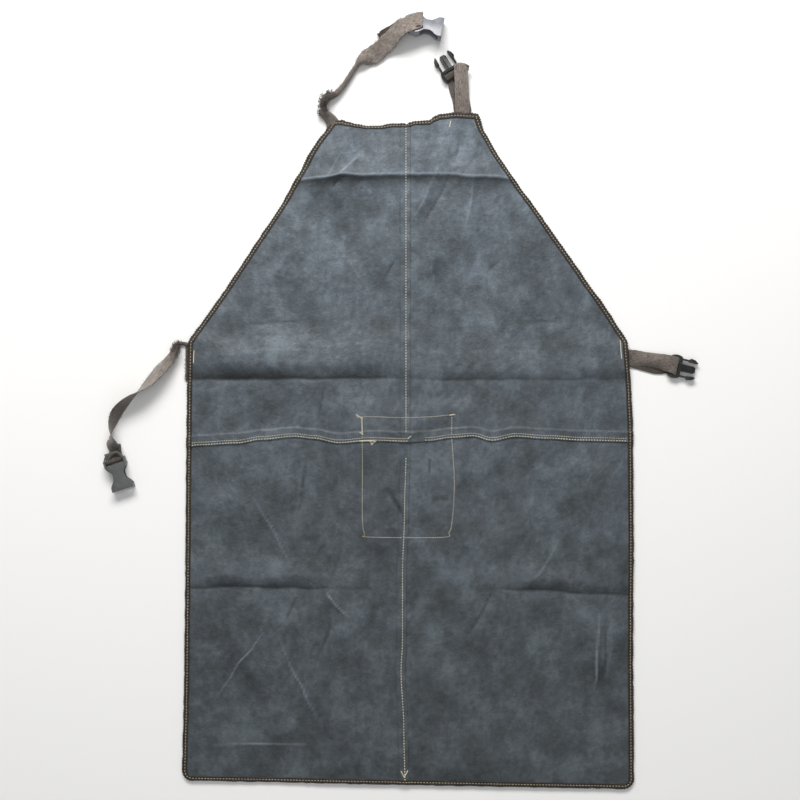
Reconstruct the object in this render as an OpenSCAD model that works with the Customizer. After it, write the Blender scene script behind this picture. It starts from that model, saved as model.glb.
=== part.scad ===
/* [Apron body] */
// Width across the hem
hem_w = 651; // [540:1:790]
// Width across the shoulders, where the bib's slopes end
shoulder_w = 632; // [520:1:770]
// Width of the top edge
top_w = 208; // [170:1:255]
// Distance of the top edge's middle from the centre line, negative to the left
top_shift = -4; // [-10:1:10]
// Height of the bib above the waist seam, at its left corner
bib_h = 460; // [380:1:560]
// How much higher the right corner of the top edge stands
top_rise = 10; // [0:1:16]
// Height of the shoulders above the waist seam
shoulder_h = 142; // [118:1:175]
// Height of the skirt below the waist seam, at its middle
skirt_h = 497; // [410:1:600]
// How much lower the right end of the hem hangs than the left end
hem_drop = 12; // [0:1:16]
// Radius of the two hem corners
corner_r = 14; // [10:1:30]
// Thickness of the leather
leather_t = 1.4; // [1.1:0.05:2]

/* [Seams] */
// Overlap of the left panels on the right panels
centre_lap = 13; // [10:1:20]
// Overlap of the bib panels on the skirt panels
waist_lap = 14; // [10:1:20]
// Distance of the stitching from a lap's edge
stitch_in = 4; // [2:0.5:6]
// Distance between the two rows of the waist seam
waist_row_gap = 3.6; // [3:0.2:6]
// Length left without stitches where the seams cross, on the centre seam
centre_skip = 38; // [20:1:60]
// Length left without stitches to the right of the crossing, on the waist seam
waist_skip = 26; // [10:1:40]
// Width of a row of thread
thread_w = 1.1; // [0.8:0.1:1.6]
// Height of a row of thread above the leather
thread_h = 0.5; // [0.3:0.1:0.8]

/* [Edge binding] */
// Width of the binding's folded strip on the face
binding_w = 8; // [6:0.5:11]
// Distance that the binding's fold stands out from the cut edge
binding_out = 1; // [0.8:0.1:1.5]
// Thickness of the binding on the front face
binding_t = 0.9; // [0.7:0.1:1.3]

/* [Pocket] */
// Width of the pocket between its stitched sides
pocket_w = 130; // [104:1:160]
// Height of the stitched pocket
pocket_h = 173; // [140:1:210]
// Height of the flap's stitch row above the waist seam
pocket_top = 33; // [24:1:44]
// Seam allowance of leather outside a stitch row
allowance = 4; // [3:0.5:6]
// Length of the bevel on the pocket's two lower corners
pocket_bevel = 8; // [4:1:16]
// Depth of the flap that covers the pocket's mouth
flap_h = 58; // [45:1:75]
// Extra width of the flap on each side of the pocket
flap_extra = 5; // [2:1:8]

/* [Straps] */
// Width of the webbing
strap_w = 25; // [20:0.5:30]
// Thickness of the webbing
strap_t = 1.4; // [1.1:0.1:1.7]
// Length of a strap's sewn end under the leather
tail_l = 42; // [34:1:55]
// Length of a waist strap's skewed end along the apron's side
skew_h = 50; // [40:1:60]
// Distance that the skewed end stands out from the side
skew_out = 4; // [3:0.5:6]
// Length of the doubled end where a long strap goes round its buckle's bar
long_end_l = 17; // [15:1:24]
// Length of the doubled end where a short strap goes round its buckle's bar
short_end_l = 24; // [20:1:30]

/* [Buckles] */
// Radius of the bar that the webbing goes round
bar_r = 1.6; // [1.3:0.1:2]
// Width of the socket at its mouth and of its ring
socket_w = 32; // [30:0.5:38]
// Width of the socket at its waist
waist_w = 17; // [15:0.5:20]
// Distance from the bar to the socket's mouth
socket_l = 43; // [40:0.5:50]
// Thickness of the socket
socket_t = 12.6; // [11:0.2:15]
// Wall of the socket's two shells
shell_t = 1.8; // [1.4:0.1:2.2]
// Thickness of the plug
plug_t = 7; // [6.6:0.1:9]
// Length of the plug's arms and guide in front of its frame
arm_l = 22.8; // [20:0.2:25]
// Width of an arm's beam
arm_w = 2.6; // [2:0.1:3]
// Half width of the centre guide
guide_half = 5.2; // [4:0.1:6]

/* [Fits] */
// Gap between two bodies at a fold
fold_gap = 0.3; // [0.2:0.05:0.5]
// Gap between the webbing and the bar, the frame and the ring
webbing_gap = 0.3; // [0.25:0.05:0.5]
// Gap between an arm's root and the plug's frame
arm_gap = 0.2; // [0.15:0.05:0.3]
// Room left in the binding round a strap's sewn end
tail_room = 0.4; // [0.2:0.1:0.6]

/* [Hidden] */
$fn = 48;

leather_color = "#5b6066";
binding_color = "#2b2622";
webbing_color = "#7d746e";
plastic_color = "#3f4241";
thread_color = "#b0a890";

eps = 0.01;
far = 2000;

// Heights, from the resting plane up: flap, pocket, panels, front of the binding
pocket_z = leather_t + fold_gap;
panel_z = pocket_z + leather_t;
front_z = panel_z + leather_t;
binding_z = front_z + binding_t;
skive_z = panel_z + leather_t / 2;

// Centre line of the lapped seams: the upper panel's edge, and the hidden edge under it
lap_x = 3;
hidden_x = lap_x - centre_lap;
lap_y = -stitch_in + 2;
hidden_y = lap_y + waist_lap;
centre_row_x = lap_x - stitch_in - 2;
waist_row_y = lap_y + 2;

// ---- Outline of the apron, clockwise from its top left corner ----
corner_steps = 6;
top_left = [top_shift - top_w / 2, bib_h];
top_right = [top_shift + top_w / 2, bib_h + top_rise];
shoulder_left = [-shoulder_w / 2, shoulder_h];
shoulder_right = [shoulder_w / 2, shoulder_h];
hem_left = [-hem_w / 2, -skirt_h + hem_drop / 2];
hem_right = [hem_w / 2, -skirt_h - hem_drop / 2];

function top_y(x) = bib_h + top_rise * (x - top_left.x) / top_w;
function side_x(y) = shoulder_w / 2 + (hem_w - shoulder_w) / 2 * (shoulder_h - y) / (shoulder_h + skirt_h);
function unit(v) = v / norm(v);
function out_of(a, b) = let (d = unit(b - a)) [-d.y, d.x];

// A corner between two edges, turned by an arc of radius r
function arc_corner(a, p, b, r) =
    let (
        na = out_of(a, p),
        nb = out_of(p, b),
        c = p - r * (na + nb) / (1 + na * nb),
        a0 = atan2(na.y, na.x),
        turn = -acos(na * nb)
    )
    [for (i = [0 : corner_steps]) c + r * [cos(a0 + turn * i / corner_steps), sin(a0 + turn * i / corner_steps)]];

outline = concat(
    [top_left, [centre_row_x, top_y(centre_row_x)], top_right, shoulder_right],
    arc_corner(shoulder_right, hem_right, hem_left, corner_r),
    arc_corner(hem_right, hem_left, shoulder_left, corner_r),
    [shoulder_left]
);
count = len(outline);
i_centre = 1;
i_top_right = 2;
i_shoulder_right = 3;
i_hem_start = 4;
i_hem_end = 5 + 2 * corner_steps;
i_shoulder_left = count - 1;

// The outline's point i, moved outwards by d along its mitre
function moved(i, d) =
    let (
        p = outline[i % count],
        na = out_of(outline[(i + count - 1) % count], p),
        nb = out_of(p, outline[(i + 1) % count])
    )
    p + d * (na + nb) / (1 + na * nb);

// A strip along the outline from point a to point b, between two distances from the edge
function strip(a, b, outer, inner) = concat(
    [for (i = [a : b]) moved(i, outer)],
    [for (i = [b : -1 : a]) moved(i, inner)]
);

function along(i) = unit(outline[(i + 1) % count] - outline[i % count]);

// The leather's edge inside the strip from a to b, run past the strip's two mitred ends
function edge_inside(a, b) =
    let (past = 3, deep = -binding_w - 2)
    concat(
        [moved(a, 0) - past * along(a)],
        [for (i = [a + 1 : 1 : b - 1]) moved(i, 0)],
        [moved(b, 0) + past * along(b - 1), moved(b, deep) + past * along(b - 1)],
        [for (i = [b - 1 : -1 : a + 1]) moved(i, deep)],
        [moved(a, deep) - past * along(a)]
    );

// ---- Leather panels: skived laps share one thickness of leather ----
module region(x0, x1, y0, y1) {
    translate([x0, y0]) square([x1 - x0, y1 - y0]);
}

module slab(z0, z1, x0, x1, y0, y1) {
    translate([0, 0, z0])
        linear_extrude(z1 - z0)
            intersection() {
                polygon(outline);
                region(x0, x1, y0, y1);
            }
}

module bib_panel_left() {
    color(leather_color)
        union() {
            slab(panel_z, skive_z, -far, hidden_x, hidden_y, far);
            slab(skive_z, front_z, -far, lap_x, lap_y, far);
        }
}

module bib_panel_right() {
    color(leather_color)
        union() {
            slab(panel_z, skive_z, hidden_x, far, hidden_y, far);
            slab(skive_z, front_z, lap_x, far, lap_y, far);
        }
}

module skirt_panel_left() {
    color(leather_color)
        union() {
            slab(panel_z, skive_z, -far, hidden_x, -far, hidden_y);
            slab(skive_z, front_z, -far, lap_x, -far, lap_y);
        }
}

module skirt_panel_right() {
    color(leather_color)
        union() {
            slab(panel_z, skive_z, hidden_x, far, -far, hidden_y);
            slab(skive_z, front_z, lap_x, far, -far, lap_y);
        }
}

// ---- Edge binding: a strip folded round the leather's edge, down to the resting plane ----
module binding(a, b) {
    color(binding_color)
        difference() {
            linear_extrude(binding_z) polygon(strip(a, b, binding_out, -binding_w));
            translate([0, 0, panel_z])
                linear_extrude(leather_t) polygon(edge_inside(a, b));
            all_tails();
        }
}

module binding_top_left() {
    binding(0, i_centre);
}

module binding_top_right() {
    binding(i_centre, i_top_right);
}

module binding_slope_left() {
    binding(i_shoulder_left, count);
}

module binding_slope_right() {
    binding(i_top_right, i_shoulder_right);
}

module binding_side_left() {
    binding(i_hem_end, i_shoulder_left);
}

module binding_side_right() {
    binding(i_shoulder_right, i_hem_start);
}

module binding_hem() {
    binding(i_hem_start, i_hem_end);
}

// ---- Pocket on the inner face ----
pocket_x0 = -pocket_w / 2 - 1;
pocket_x1 = pocket_w / 2 - 1;
pocket_bottom = pocket_top - pocket_h;
mouth_y = pocket_top - 2 * allowance;
flap_axis_y = pocket_top - allowance + leather_t / 2;

// The pocket's stitched outline below the mouth, moved outwards by d
function pocket_outline(y_top, d) = [
    [pocket_x0 - d, y_top],
    [pocket_x0 - d, pocket_bottom + pocket_bevel - d / 2],
    [pocket_x0 + pocket_bevel - d / 2, pocket_bottom - d],
    [pocket_x1 - pocket_bevel + d / 2, pocket_bottom - d],
    [pocket_x1 + d, pocket_bottom + pocket_bevel - d / 2],
    [pocket_x1 + d, y_top]
];

module pocket_panel() {
    color(leather_color)
        translate([0, 0, pocket_z])
            linear_extrude(leather_t) polygon(pocket_outline(mouth_y, allowance));
}

module flap_slab(z, y0, y1) {
    translate([pocket_x0 - allowance - flap_extra, y0, z])
        cube([pocket_w + 2 * (allowance + flap_extra), y1 - y0, leather_t]);
}

module flap_sewn_edge() {
    color(leather_color)
        flap_slab(pocket_z, flap_axis_y + leather_t / 2 + fold_gap, pocket_top + allowance + 2);
}

module pocket_flap() {
    color(leather_color)
        flap_slab(0, flap_axis_y - flap_h, flap_axis_y);
}

// ---- Places where the straps leave the apron ----
// Direction of the long neck strap at the top left corner
neck_dir = 115;
neck_exit = top_left + (binding_out + fold_gap + strap_t / 2 + 2) * [cos(neck_dir), sin(neck_dir)];
loop_x = 79;
loop_top = top_y(loop_x + strap_w / 2) + binding_out;
loop_exit = [loop_x, loop_top + fold_gap + strap_t];
waist_strap_y = shoulder_h - 14;
waist_strap_x = -side_x(shoulder_h - skew_h) - skew_out;
waist_strap_exit = [waist_strap_x - fold_gap - strap_t / 2, waist_strap_y];
waist_loop_y = shoulder_h - 24;
waist_loop_x = side_x(waist_loop_y - strap_w / 2) + binding_out;
waist_loop_exit = [waist_loop_x + fold_gap + strap_t, waist_loop_y];

// ---- Sewn ends of the straps, folded double under the leather ----
tail_z = panel_z - 2 * strap_t;

// With a skin, it is the space that the binding leaves for the sewn end: down past the
// resting plane, and a little wider and higher than the webbing
module tail(p, direction, width, length, skin = 0) {
    room = skin > 0 ? tail_room : 0;
    translate([p.x, p.y, tail_z - skin])
        rotate([0, 0, direction])
            translate([-length, -width / 2 - room, 0])
                cube([length + room, width + 2 * room, 2 * strap_t + skin + room]);
}

module neck_strap_tail_shape(skin = 0) {
    back = fold_gap + strap_t / 2;
    p = neck_exit - back * [cos(neck_dir), sin(neck_dir)];
    tail(p, neck_dir, strap_w, tail_l, skin);
}

module neck_loop_tail_shape(skin = 0) {
    tail([loop_x, loop_top], 90, strap_w, tail_l, skin);
}

module waist_strap_tail_shape(skin = 0) {
    tail([waist_strap_x, waist_strap_y + strap_w / 2 - skew_h / 2], 180, skew_h, tail_l, skin);
}

module waist_loop_tail_shape(skin = 0) {
    tail([waist_loop_x, waist_loop_y], 0, strap_w, tail_l, skin);
}

// What the binding leaves open below the leather, down to the resting plane
module all_tails() {
    skin = tail_z + 1;
    neck_strap_tail_shape(skin);
    neck_loop_tail_shape(skin);
    waist_strap_tail_shape(skin);
    waist_loop_tail_shape(skin);
}

module neck_strap_tail() {
    color(webbing_color) neck_strap_tail_shape();
}

module neck_loop_tail() {
    color(webbing_color) neck_loop_tail_shape();
}

module waist_strap_tail() {
    color(webbing_color) waist_strap_tail_shape();
}

module waist_loop_tail() {
    color(webbing_color) waist_loop_tail_shape();
}

// ---- Buckle places: the middle of the bar, measured from the strap's exit, yaw and roll ----
neck_socket_roll = -22;
neck_socket_yaw = -10;
neck_socket_z = socket_w / 2 * sin(-neck_socket_roll) + socket_t / 2 * cos(neck_socket_roll);
neck_bar = [neck_exit.x + 117, neck_exit.y + 134, neck_socket_z];
waist_socket_yaw = -72;
waist_bar = [waist_strap_exit.x - 101, waist_strap_exit.y - 158, socket_t / 2];
neck_plug_yaw = 122;
neck_plug_bar = [loop_exit.x - 15, loop_exit.y + 57, plug_t / 2];
waist_plug_yaw = -13;
waist_plug_bar = [waist_loop_exit.x + 66, waist_loop_exit.y - 11.5, plug_t / 2];

module at_bar(p, yaw, roll = 0) {
    translate(p) rotate([0, 0, yaw]) rotate([roll, 0, 0]) children();
}

// ---- Webbing: a flat ribbon swept along points of [x, y, lift, roll, width] ----
// The lift is the height of the ribbon's lower edge above the resting plane
sweep_steps = 3;

// Half the height that a ribbon of width w and thickness t takes when it is rolled
function half_height(roll, w, t) = w / 2 * abs(sin(roll)) + t / 2 * abs(cos(roll));

function spline_point(p, i, t) =
    let (
        a = p[max(i - 1, 0)],
        b = p[i],
        c = p[i + 1],
        d = p[min(i + 2, len(p) - 1)]
    )
    (2 * b + (c - a) * t + (2 * a - 5 * b + 4 * c - d) * t * t + (3 * b - a - 3 * c + d) * t * t * t) / 2;

function smooth(p) = concat(
    [for (i = [0 : len(p) - 2]) for (k = [0 : sweep_steps - 1]) spline_point(p, i, k / sweep_steps)],
    [p[len(p) - 1]]
);

function heading(p, i, start, end) =
    i == 0 ? start :
    i == len(p) - 1 ? end :
    atan2(p[i + 1].y - p[i - 1].y, p[i + 1].x - p[i - 1].x);

// The four corners of the ribbon's section at point q
function section(q, yaw, t) =
    let (
        roll = q[3],
        side = [-sin(yaw) * cos(roll), cos(yaw) * cos(roll), sin(roll)] * q[4] / 2,
        up = [sin(yaw) * sin(roll), -cos(yaw) * sin(roll), cos(roll)] * t / 2,
        c = [q[0], q[1], max(q[2], 0) + half_height(roll, q[4], t)]
    )
    [c - side - up, c + side - up, c + side + up, c - side + up];

module ribbon(points, start, end, t) {
    p = smooth(points);
    n = len(p);
    rings = [for (i = [0 : n - 1]) each section(p[i], heading(p, i, start, end), t)];
    // The two wide faces are split along the same diagonal, so they stay apart in a twist
    sides = [
        for (i = [0 : n - 2]) for (k = [0 : 3])
            let (a = 4 * i + k, b = 4 * i + (k + 1) % 4)
            each k == 2 ? [[a, a + 4, b + 4], [a, b + 4, b]] : [[a, a + 4, b], [b, a + 4, b + 4]]
    ];
    last = 4 * (n - 1);
    caps = [[0, 1, 2], [0, 2, 3], [last, last + 3, last + 2], [last, last + 2, last + 1]];
    polyhedron(points = rings, faces = concat(sides, caps));
}

// The end that goes round the bar, seen along the bar, and doubled for a length l
sleeve_r = bar_r + webbing_gap;

module end_profile(l) {
    difference() {
        union() {
            circle(sleeve_r + strap_t);
            polygon([
                [-l, -strap_t], [0, -sleeve_r - strap_t], [0, sleeve_r + strap_t], [-l, strap_t]
            ]);
        }
        circle(sleeve_r);
        polygon([[-l * 0.7, 0], [0, -sleeve_r], [0, sleeve_r]]);
    }
}

module strap_end(bar, yaw, roll, l) {
    at_bar(bar, yaw, roll)
        rotate([90, 0, 0])
            linear_extrude(strap_w, center = true) end_profile(l);
}

function end_point(bar, yaw, roll, l, t) = [
    bar.x - l * cos(yaw), bar.y - l * sin(yaw), bar.z - half_height(roll, strap_w, t), roll, strap_w
];

// Points of the long neck strap, measured from its exit
neck_points = [
    [-2.1, 4.5, 0, 0, 25], [-4.2, 9.06, 0, 6, 24.5], [-7, 16, 0, 40, 21], [-5.5, 24, 0, 70, 16],
    [1, 31.5, 0, 76, 14], [10, 39, 0, 70, 15], [18, 50, 0, 66, 16], [29, 64, 0, 76, 17],
    [41, 78, 1, 74, 20], [56, 95, 2, 36, 25], [69, 113, 4, 8, 25], [82, 127.5, 6, -8, 25],
    [91, 134, 7, -16, 25]
];
neck_route = concat(
    [[neck_exit.x, neck_exit.y, 0, 0, strap_w]],
    [for (q = neck_points) [neck_exit.x + q[0], neck_exit.y + q[1], q[2], q[3], q[4]]],
    [end_point(neck_bar, neck_socket_yaw, neck_socket_roll, long_end_l, strap_t)]
);

// Points of the long waist strap, measured from its exit
waist_points = [
    [-3, 0, 0, 0, 24], [-7.5, 1, 0, 20, 18], [-13, 2, 0, 50, 13], [-19, -3, 0, 58, 13],
    [-27, -14, 0, 35, 20],
    [-37, -28, 0, 15, 25], [-48, -44, 0, 25, 25], [-61, -57, 0, 60, 25], [-75, -66, 0, 76, 25],
    [-91, -80, 0, 40, 25], [-100, -99, 0, 45, 25], [-104, -120, 1, 78, 22]
];
waist_route = concat(
    [[waist_strap_exit.x, waist_strap_exit.y, 0, 0, strap_w]],
    [for (q = waist_points) [waist_strap_exit.x + q[0], waist_strap_exit.y + q[1], q[2], q[3], q[4]]],
    [end_point(waist_bar, waist_socket_yaw, 0, long_end_l, strap_t)]
);

// The short straps are two layers, sewn together up to the bar
neck_loop_route = [
    [loop_exit.x, loop_exit.y, 0, 0, strap_w],
    [loop_exit.x, loop_exit.y + 14, 0.5, 0, strap_w],
    end_point(neck_plug_bar, neck_plug_yaw, 0, short_end_l, 2 * strap_t)
];
waist_loop_route = [
    [waist_loop_exit.x, waist_loop_exit.y, 0, 0, strap_w],
    [waist_loop_exit.x + 20, waist_loop_exit.y - 2, 0.5, 0, strap_w],
    end_point(waist_plug_bar, waist_plug_yaw, 0, short_end_l, 2 * strap_t)
];

module neck_strap() {
    color(webbing_color) ribbon(neck_route, neck_dir, neck_socket_yaw, strap_t);
}

module neck_strap_end() {
    color(webbing_color) strap_end(neck_bar, neck_socket_yaw, neck_socket_roll, long_end_l);
}

module waist_strap() {
    color(webbing_color) ribbon(waist_route, 180, waist_socket_yaw, strap_t);
}

module waist_strap_end() {
    color(webbing_color) strap_end(waist_bar, waist_socket_yaw, 0, long_end_l);
}

module neck_loop() {
    color(webbing_color) ribbon(neck_loop_route, 90, neck_plug_yaw, 2 * strap_t);
}

module neck_loop_end() {
    color(webbing_color) strap_end(neck_plug_bar, neck_plug_yaw, 0, short_end_l);
}

module waist_loop() {
    color(webbing_color) ribbon(waist_loop_route, 0, waist_plug_yaw, 2 * strap_t);
}

module waist_loop_end() {
    color(webbing_color) strap_end(waist_plug_bar, waist_plug_yaw, 0, short_end_l);
}

// ---- Socket half of a buckle: +X to its mouth, the bar along Y through its origin ----
slot_half = strap_w / 2 + webbing_gap + 0.4;
cheek_outer = max(socket_w / 2, slot_half + 1.2);
ring_back = 13;
ring_band = 2.4;
ring_z = sleeve_r + strap_t + webbing_gap;
ring_end_half = 8;
body_start = sleeve_r + strap_t + webbing_gap + 1;
cavity_start = body_start + 7;
neck_start = 19;
neck_end = 24;
flare_end = socket_l - 5;

function ease(a, b, t) = a + (b - a) * (1 - cos(180 * t)) / 2;
function socket_half(u) =
    u < 2 ? ring_end_half + (socket_w / 2 - ring_end_half) * sin(90 * (u + ring_back) / (ring_back + 2)) :
    u < 6 ? socket_w / 2 :
    u < neck_start ? ease(socket_w / 2, waist_w / 2, (u - 6) / (neck_start - 6)) :
    u < neck_end ? waist_w / 2 :
    u < flare_end ? ease(waist_w / 2, socket_w / 2, (u - neck_end) / (flare_end - neck_end)) :
    socket_w / 2;

// The socket's outline from u0 to u1, drawn in by d
module socket_outline(u0, u1, d = 0) {
    steps = 20;
    us = [for (i = [0 : steps]) u0 + (u1 - u0) * i / steps];
    polygon(concat(
        [for (u = us) [u, socket_half(u) - d]],
        [for (i = [steps : -1 : 0]) [us[i], d - socket_half(us[i])]]
    ));
}

module socket() {
    inner = socket_t - 2 * shell_t;
    color(plastic_color)
        union() {
            // Ring that lies over the webbing
            translate([0, 0, ring_z])
                linear_extrude(2.2)
                    difference() {
                        socket_outline(-ring_back, body_start + 1);
                        socket_outline(-ring_back + ring_band, body_start, ring_band);
                    }
            // Cheeks beside the webbing, and the bar between them
            for (side = [-1, 1])
                translate([-3, side > 0 ? slot_half : -cheek_outer, -ring_z])
                    cube([body_start + 4, cheek_outer - slot_half, 2 * ring_z + 2.2]);
            rotate([90, 0, 0]) cylinder(r = bar_r, h = 2 * slot_half + 1, center = true);
            // Hollow body: two shells, closed at the root and beside the mouth
            difference() {
                translate([0, 0, -socket_t / 2])
                    linear_extrude(socket_t) socket_outline(body_start, socket_l);
                translate([0, 0, -inner / 2])
                    linear_extrude(inner) socket_outline(cavity_start, socket_l + eps, shell_t);
                translate([cavity_start, -socket_w, -inner / 2])
                    cube([flare_end - cavity_start, 2 * socket_w, inner]);
            }
        }
}

module neck_socket() {
    at_bar(neck_bar, neck_socket_yaw, neck_socket_roll) socket();
}

module waist_socket() {
    at_bar(waist_bar, waist_socket_yaw) socket();
}

// ---- Plug half of a buckle: +X to its tips, the bar along Y through its origin ----
cheek_l = 8.5;
cheek_bulge = 3.8;
frame_front = body_start + 4;
arm_root_x = frame_front + arm_gap + arm_w / 2;
arm_root_y = 12.2;
arm_tip = frame_front + arm_l;
head_start = frame_front + 10;

module cheek(side) {
    steps = 16;
    polygon([
        for (i = [0 : steps]) [
            -cheek_l * cos(180 * i / steps),
            side * (slot_half + cheek_bulge * sin(180 * i / steps))
        ]
    ]);
}

module plug() {
    color(plastic_color)
        union() {
            translate([0, 0, -plug_t / 2])
                linear_extrude(plug_t)
                    union() {
                        cheek(1);
                        cheek(-1);
                        translate([body_start, -slot_half - 1])
                            square([frame_front - body_start, 2 * slot_half + 2]);
                    }
            rotate([90, 0, 0]) cylinder(r = bar_r, h = 2 * slot_half + 1, center = true);
            // Centre guide and its rib
            translate([0, 0, -1.9])
                linear_extrude(3.8)
                    polygon([
                        [frame_front - 1, -guide_half], [arm_tip - 5, -guide_half],
                        [arm_tip - 2, -guide_half + 2], [arm_tip - 2, guide_half - 2],
                        [arm_tip - 5, guide_half], [frame_front - 1, guide_half]
                    ]);
            translate([frame_front - 1, -0.9, -plug_t / 2 + 0.4])
                cube([arm_l - 5, 1.8, plug_t - 0.8]);
        }
}

// One sprung arm: a beam from its round root, and a hooked head
module arm(side) {
    color(plastic_color)
        union() {
            translate([arm_root_x, side * arm_root_y, -2.3]) cylinder(r = arm_w / 2, h = 4.6);
            translate([arm_root_x, side * arm_root_y - arm_w / 2, -2.3])
                cube([head_start - arm_root_x + 1, arm_w, 4.6]);
            translate([0, 0, -plug_t / 2])
                linear_extrude(plug_t)
                    polygon([
                        [head_start, side * 10.2], [head_start, side * 14.2],
                        [head_start + 2.2, side * 15.8], [head_start + 8, side * 14.6],
                        [arm_tip, side * 11.2], [arm_tip, side * 10], [arm_tip - 3, side * 9.6]
                    ]);
        }
}

module neck_plug() {
    at_bar(neck_plug_bar, neck_plug_yaw) plug();
}

module waist_plug() {
    at_bar(waist_plug_bar, waist_plug_yaw) plug();
}

module neck_plug_arm_left() {
    at_bar(neck_plug_bar, neck_plug_yaw) arm(1);
}

module neck_plug_arm_right() {
    at_bar(neck_plug_bar, neck_plug_yaw) arm(-1);
}

module waist_plug_arm_left() {
    at_bar(waist_plug_bar, waist_plug_yaw) arm(1);
}

module waist_plug_arm_right() {
    at_bar(waist_plug_bar, waist_plug_yaw) arm(-1);
}

// ---- Rows of thread on the front face ----
module row(z, x0, x1, y0, y1) {
    color(thread_color) translate([x0, y0, z]) cube([x1 - x0, y1 - y0, thread_h]);
}

module row_along_y(z, x, y0, y1) {
    row(z, x - thread_w / 2, x + thread_w / 2, y0, y1);
}

module row_along_x(z, y, x0, x1) {
    row(z, x0, x1, y - thread_w / 2, y + thread_w / 2);
}

centre_gap_top = hidden_y;
centre_gap_bottom = hidden_y - centre_skip;

module centre_seam_thread() {
    inset = binding_w + 1;
    row_along_y(front_z, centre_row_x, centre_gap_top, top_y(centre_row_x) - inset);
    row_along_y(front_z, centre_row_x, -skirt_h + inset, centre_gap_bottom);
}

module waist_seam_thread() {
    inset = binding_w + 1;
    for (y = [waist_row_y, waist_row_y + waist_row_gap]) {
        row_along_x(front_z, y, inset - side_x(0), -thread_w);
        row_along_x(front_z, y, waist_skip, side_x(0) - inset);
    }
}

module pocket_thread() {
    y_top = pocket_top - 3;
    color(thread_color)
        translate([0, 0, front_z])
            linear_extrude(thread_h)
                difference() {
                    polygon(pocket_outline(y_top, thread_w / 2));
                    polygon(pocket_outline(y_top + 1, -thread_w / 2));
                    region(centre_row_x - 1, centre_row_x + 1, -far, far);
                    region(-far, far, waist_row_y - 1, waist_row_y + waist_row_gap + 1);
                }
}

module flap_thread() {
    row_along_x(front_z, pocket_top, pocket_x0 - flap_extra, centre_row_x - 1);
    row_along_x(front_z, pocket_top, centre_row_x + 1, pocket_x1 + flap_extra);
}

module binding_thread() {
    middle = -binding_w / 2;
    color(thread_color)
        translate([0, 0, binding_z])
            linear_extrude(thread_h)
                difference() {
                    polygon([for (i = [0 : count - 1]) moved(i, middle + thread_w / 2)]);
                    polygon([for (i = [0 : count - 1]) moved(i, middle - thread_w / 2)]);
                }
}

module strap_tack_thread() {
    tack = 14;
    inset = binding_w + 3;
    row_along_y(front_z, loop_x - 9, loop_top - inset - tack, loop_top - inset);
    row_along_y(front_z, side_x(waist_loop_y) - inset, waist_loop_y, waist_loop_y + tack);
    row_along_y(front_z, inset - side_x(waist_strap_y), waist_strap_y - tack, waist_strap_y);
}

bib_panel_left();
bib_panel_right();
skirt_panel_left();
skirt_panel_right();
binding_top_left();
binding_top_right();
binding_slope_left();
binding_slope_right();
binding_side_left();
binding_side_right();
binding_hem();
pocket_panel();
flap_sewn_edge();
pocket_flap();
neck_strap_tail();
neck_loop_tail();
waist_strap_tail();
waist_loop_tail();
neck_strap();
neck_strap_end();
neck_loop();
neck_loop_end();
waist_strap();
waist_strap_end();
waist_loop();
waist_loop_end();
neck_socket();
waist_socket();
neck_plug();
waist_plug();
neck_plug_arm_left();
neck_plug_arm_right();
waist_plug_arm_left();
waist_plug_arm_right();
centre_seam_thread();
waist_seam_thread();
pocket_thread();
flap_thread();
binding_thread();
strap_tack_thread();
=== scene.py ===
import logging
import math
from dataclasses import dataclass, field
from enum import Enum

import bmesh
import bpy
import numpy as np
from mathutils import Matrix, Vector


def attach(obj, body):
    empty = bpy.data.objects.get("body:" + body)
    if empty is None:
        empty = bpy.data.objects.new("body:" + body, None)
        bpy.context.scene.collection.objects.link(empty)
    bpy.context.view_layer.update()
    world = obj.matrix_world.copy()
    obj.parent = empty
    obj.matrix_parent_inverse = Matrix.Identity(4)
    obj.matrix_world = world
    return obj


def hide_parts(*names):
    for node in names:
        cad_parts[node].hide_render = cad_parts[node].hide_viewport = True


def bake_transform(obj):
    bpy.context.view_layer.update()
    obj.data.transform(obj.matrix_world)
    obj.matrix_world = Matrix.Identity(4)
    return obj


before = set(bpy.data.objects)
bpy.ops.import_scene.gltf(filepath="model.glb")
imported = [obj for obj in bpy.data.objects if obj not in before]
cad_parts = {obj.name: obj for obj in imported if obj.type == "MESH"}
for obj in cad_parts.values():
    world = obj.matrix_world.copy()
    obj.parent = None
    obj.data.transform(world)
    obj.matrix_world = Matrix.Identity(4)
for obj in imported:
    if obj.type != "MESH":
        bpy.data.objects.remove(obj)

logging.basicConfig(level=logging.INFO, format="%(name)s: %(message)s")
LOG = logging.getLogger("apron")
MM = 0.001
Array = np.ndarray


# ---------------------------------------------------------------- small helpers


def unit(v: Array) -> Array:
    """Return the vectors of an array scaled to length one."""
    return v / np.maximum(np.linalg.norm(v, axis=-1, keepdims=True), 1e-12)


def ease(t: Array) -> Array:
    """Return 0 below 0, 1 above 1 and a smooth step between."""
    t = np.clip(t, 0.0, 1.0)
    return t * t * (3 - 2 * t)


def ramp(x: Array, table: list[tuple[float, float]]) -> Array:
    """Interpolate smoothly in a short table.

    Args:
        x: Where to look the table up.
        table: Pairs of place and value, in rising order.

    Returns:
        The values, held constant outside the table.
    """
    at, value = np.array(table, float).T
    i = np.clip(np.searchsorted(at, x) - 1, 0, len(at) - 2)
    t = ease((x - at[i]) / (at[i + 1] - at[i]))
    return value[i] + (value[i + 1] - value[i]) * t


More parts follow.
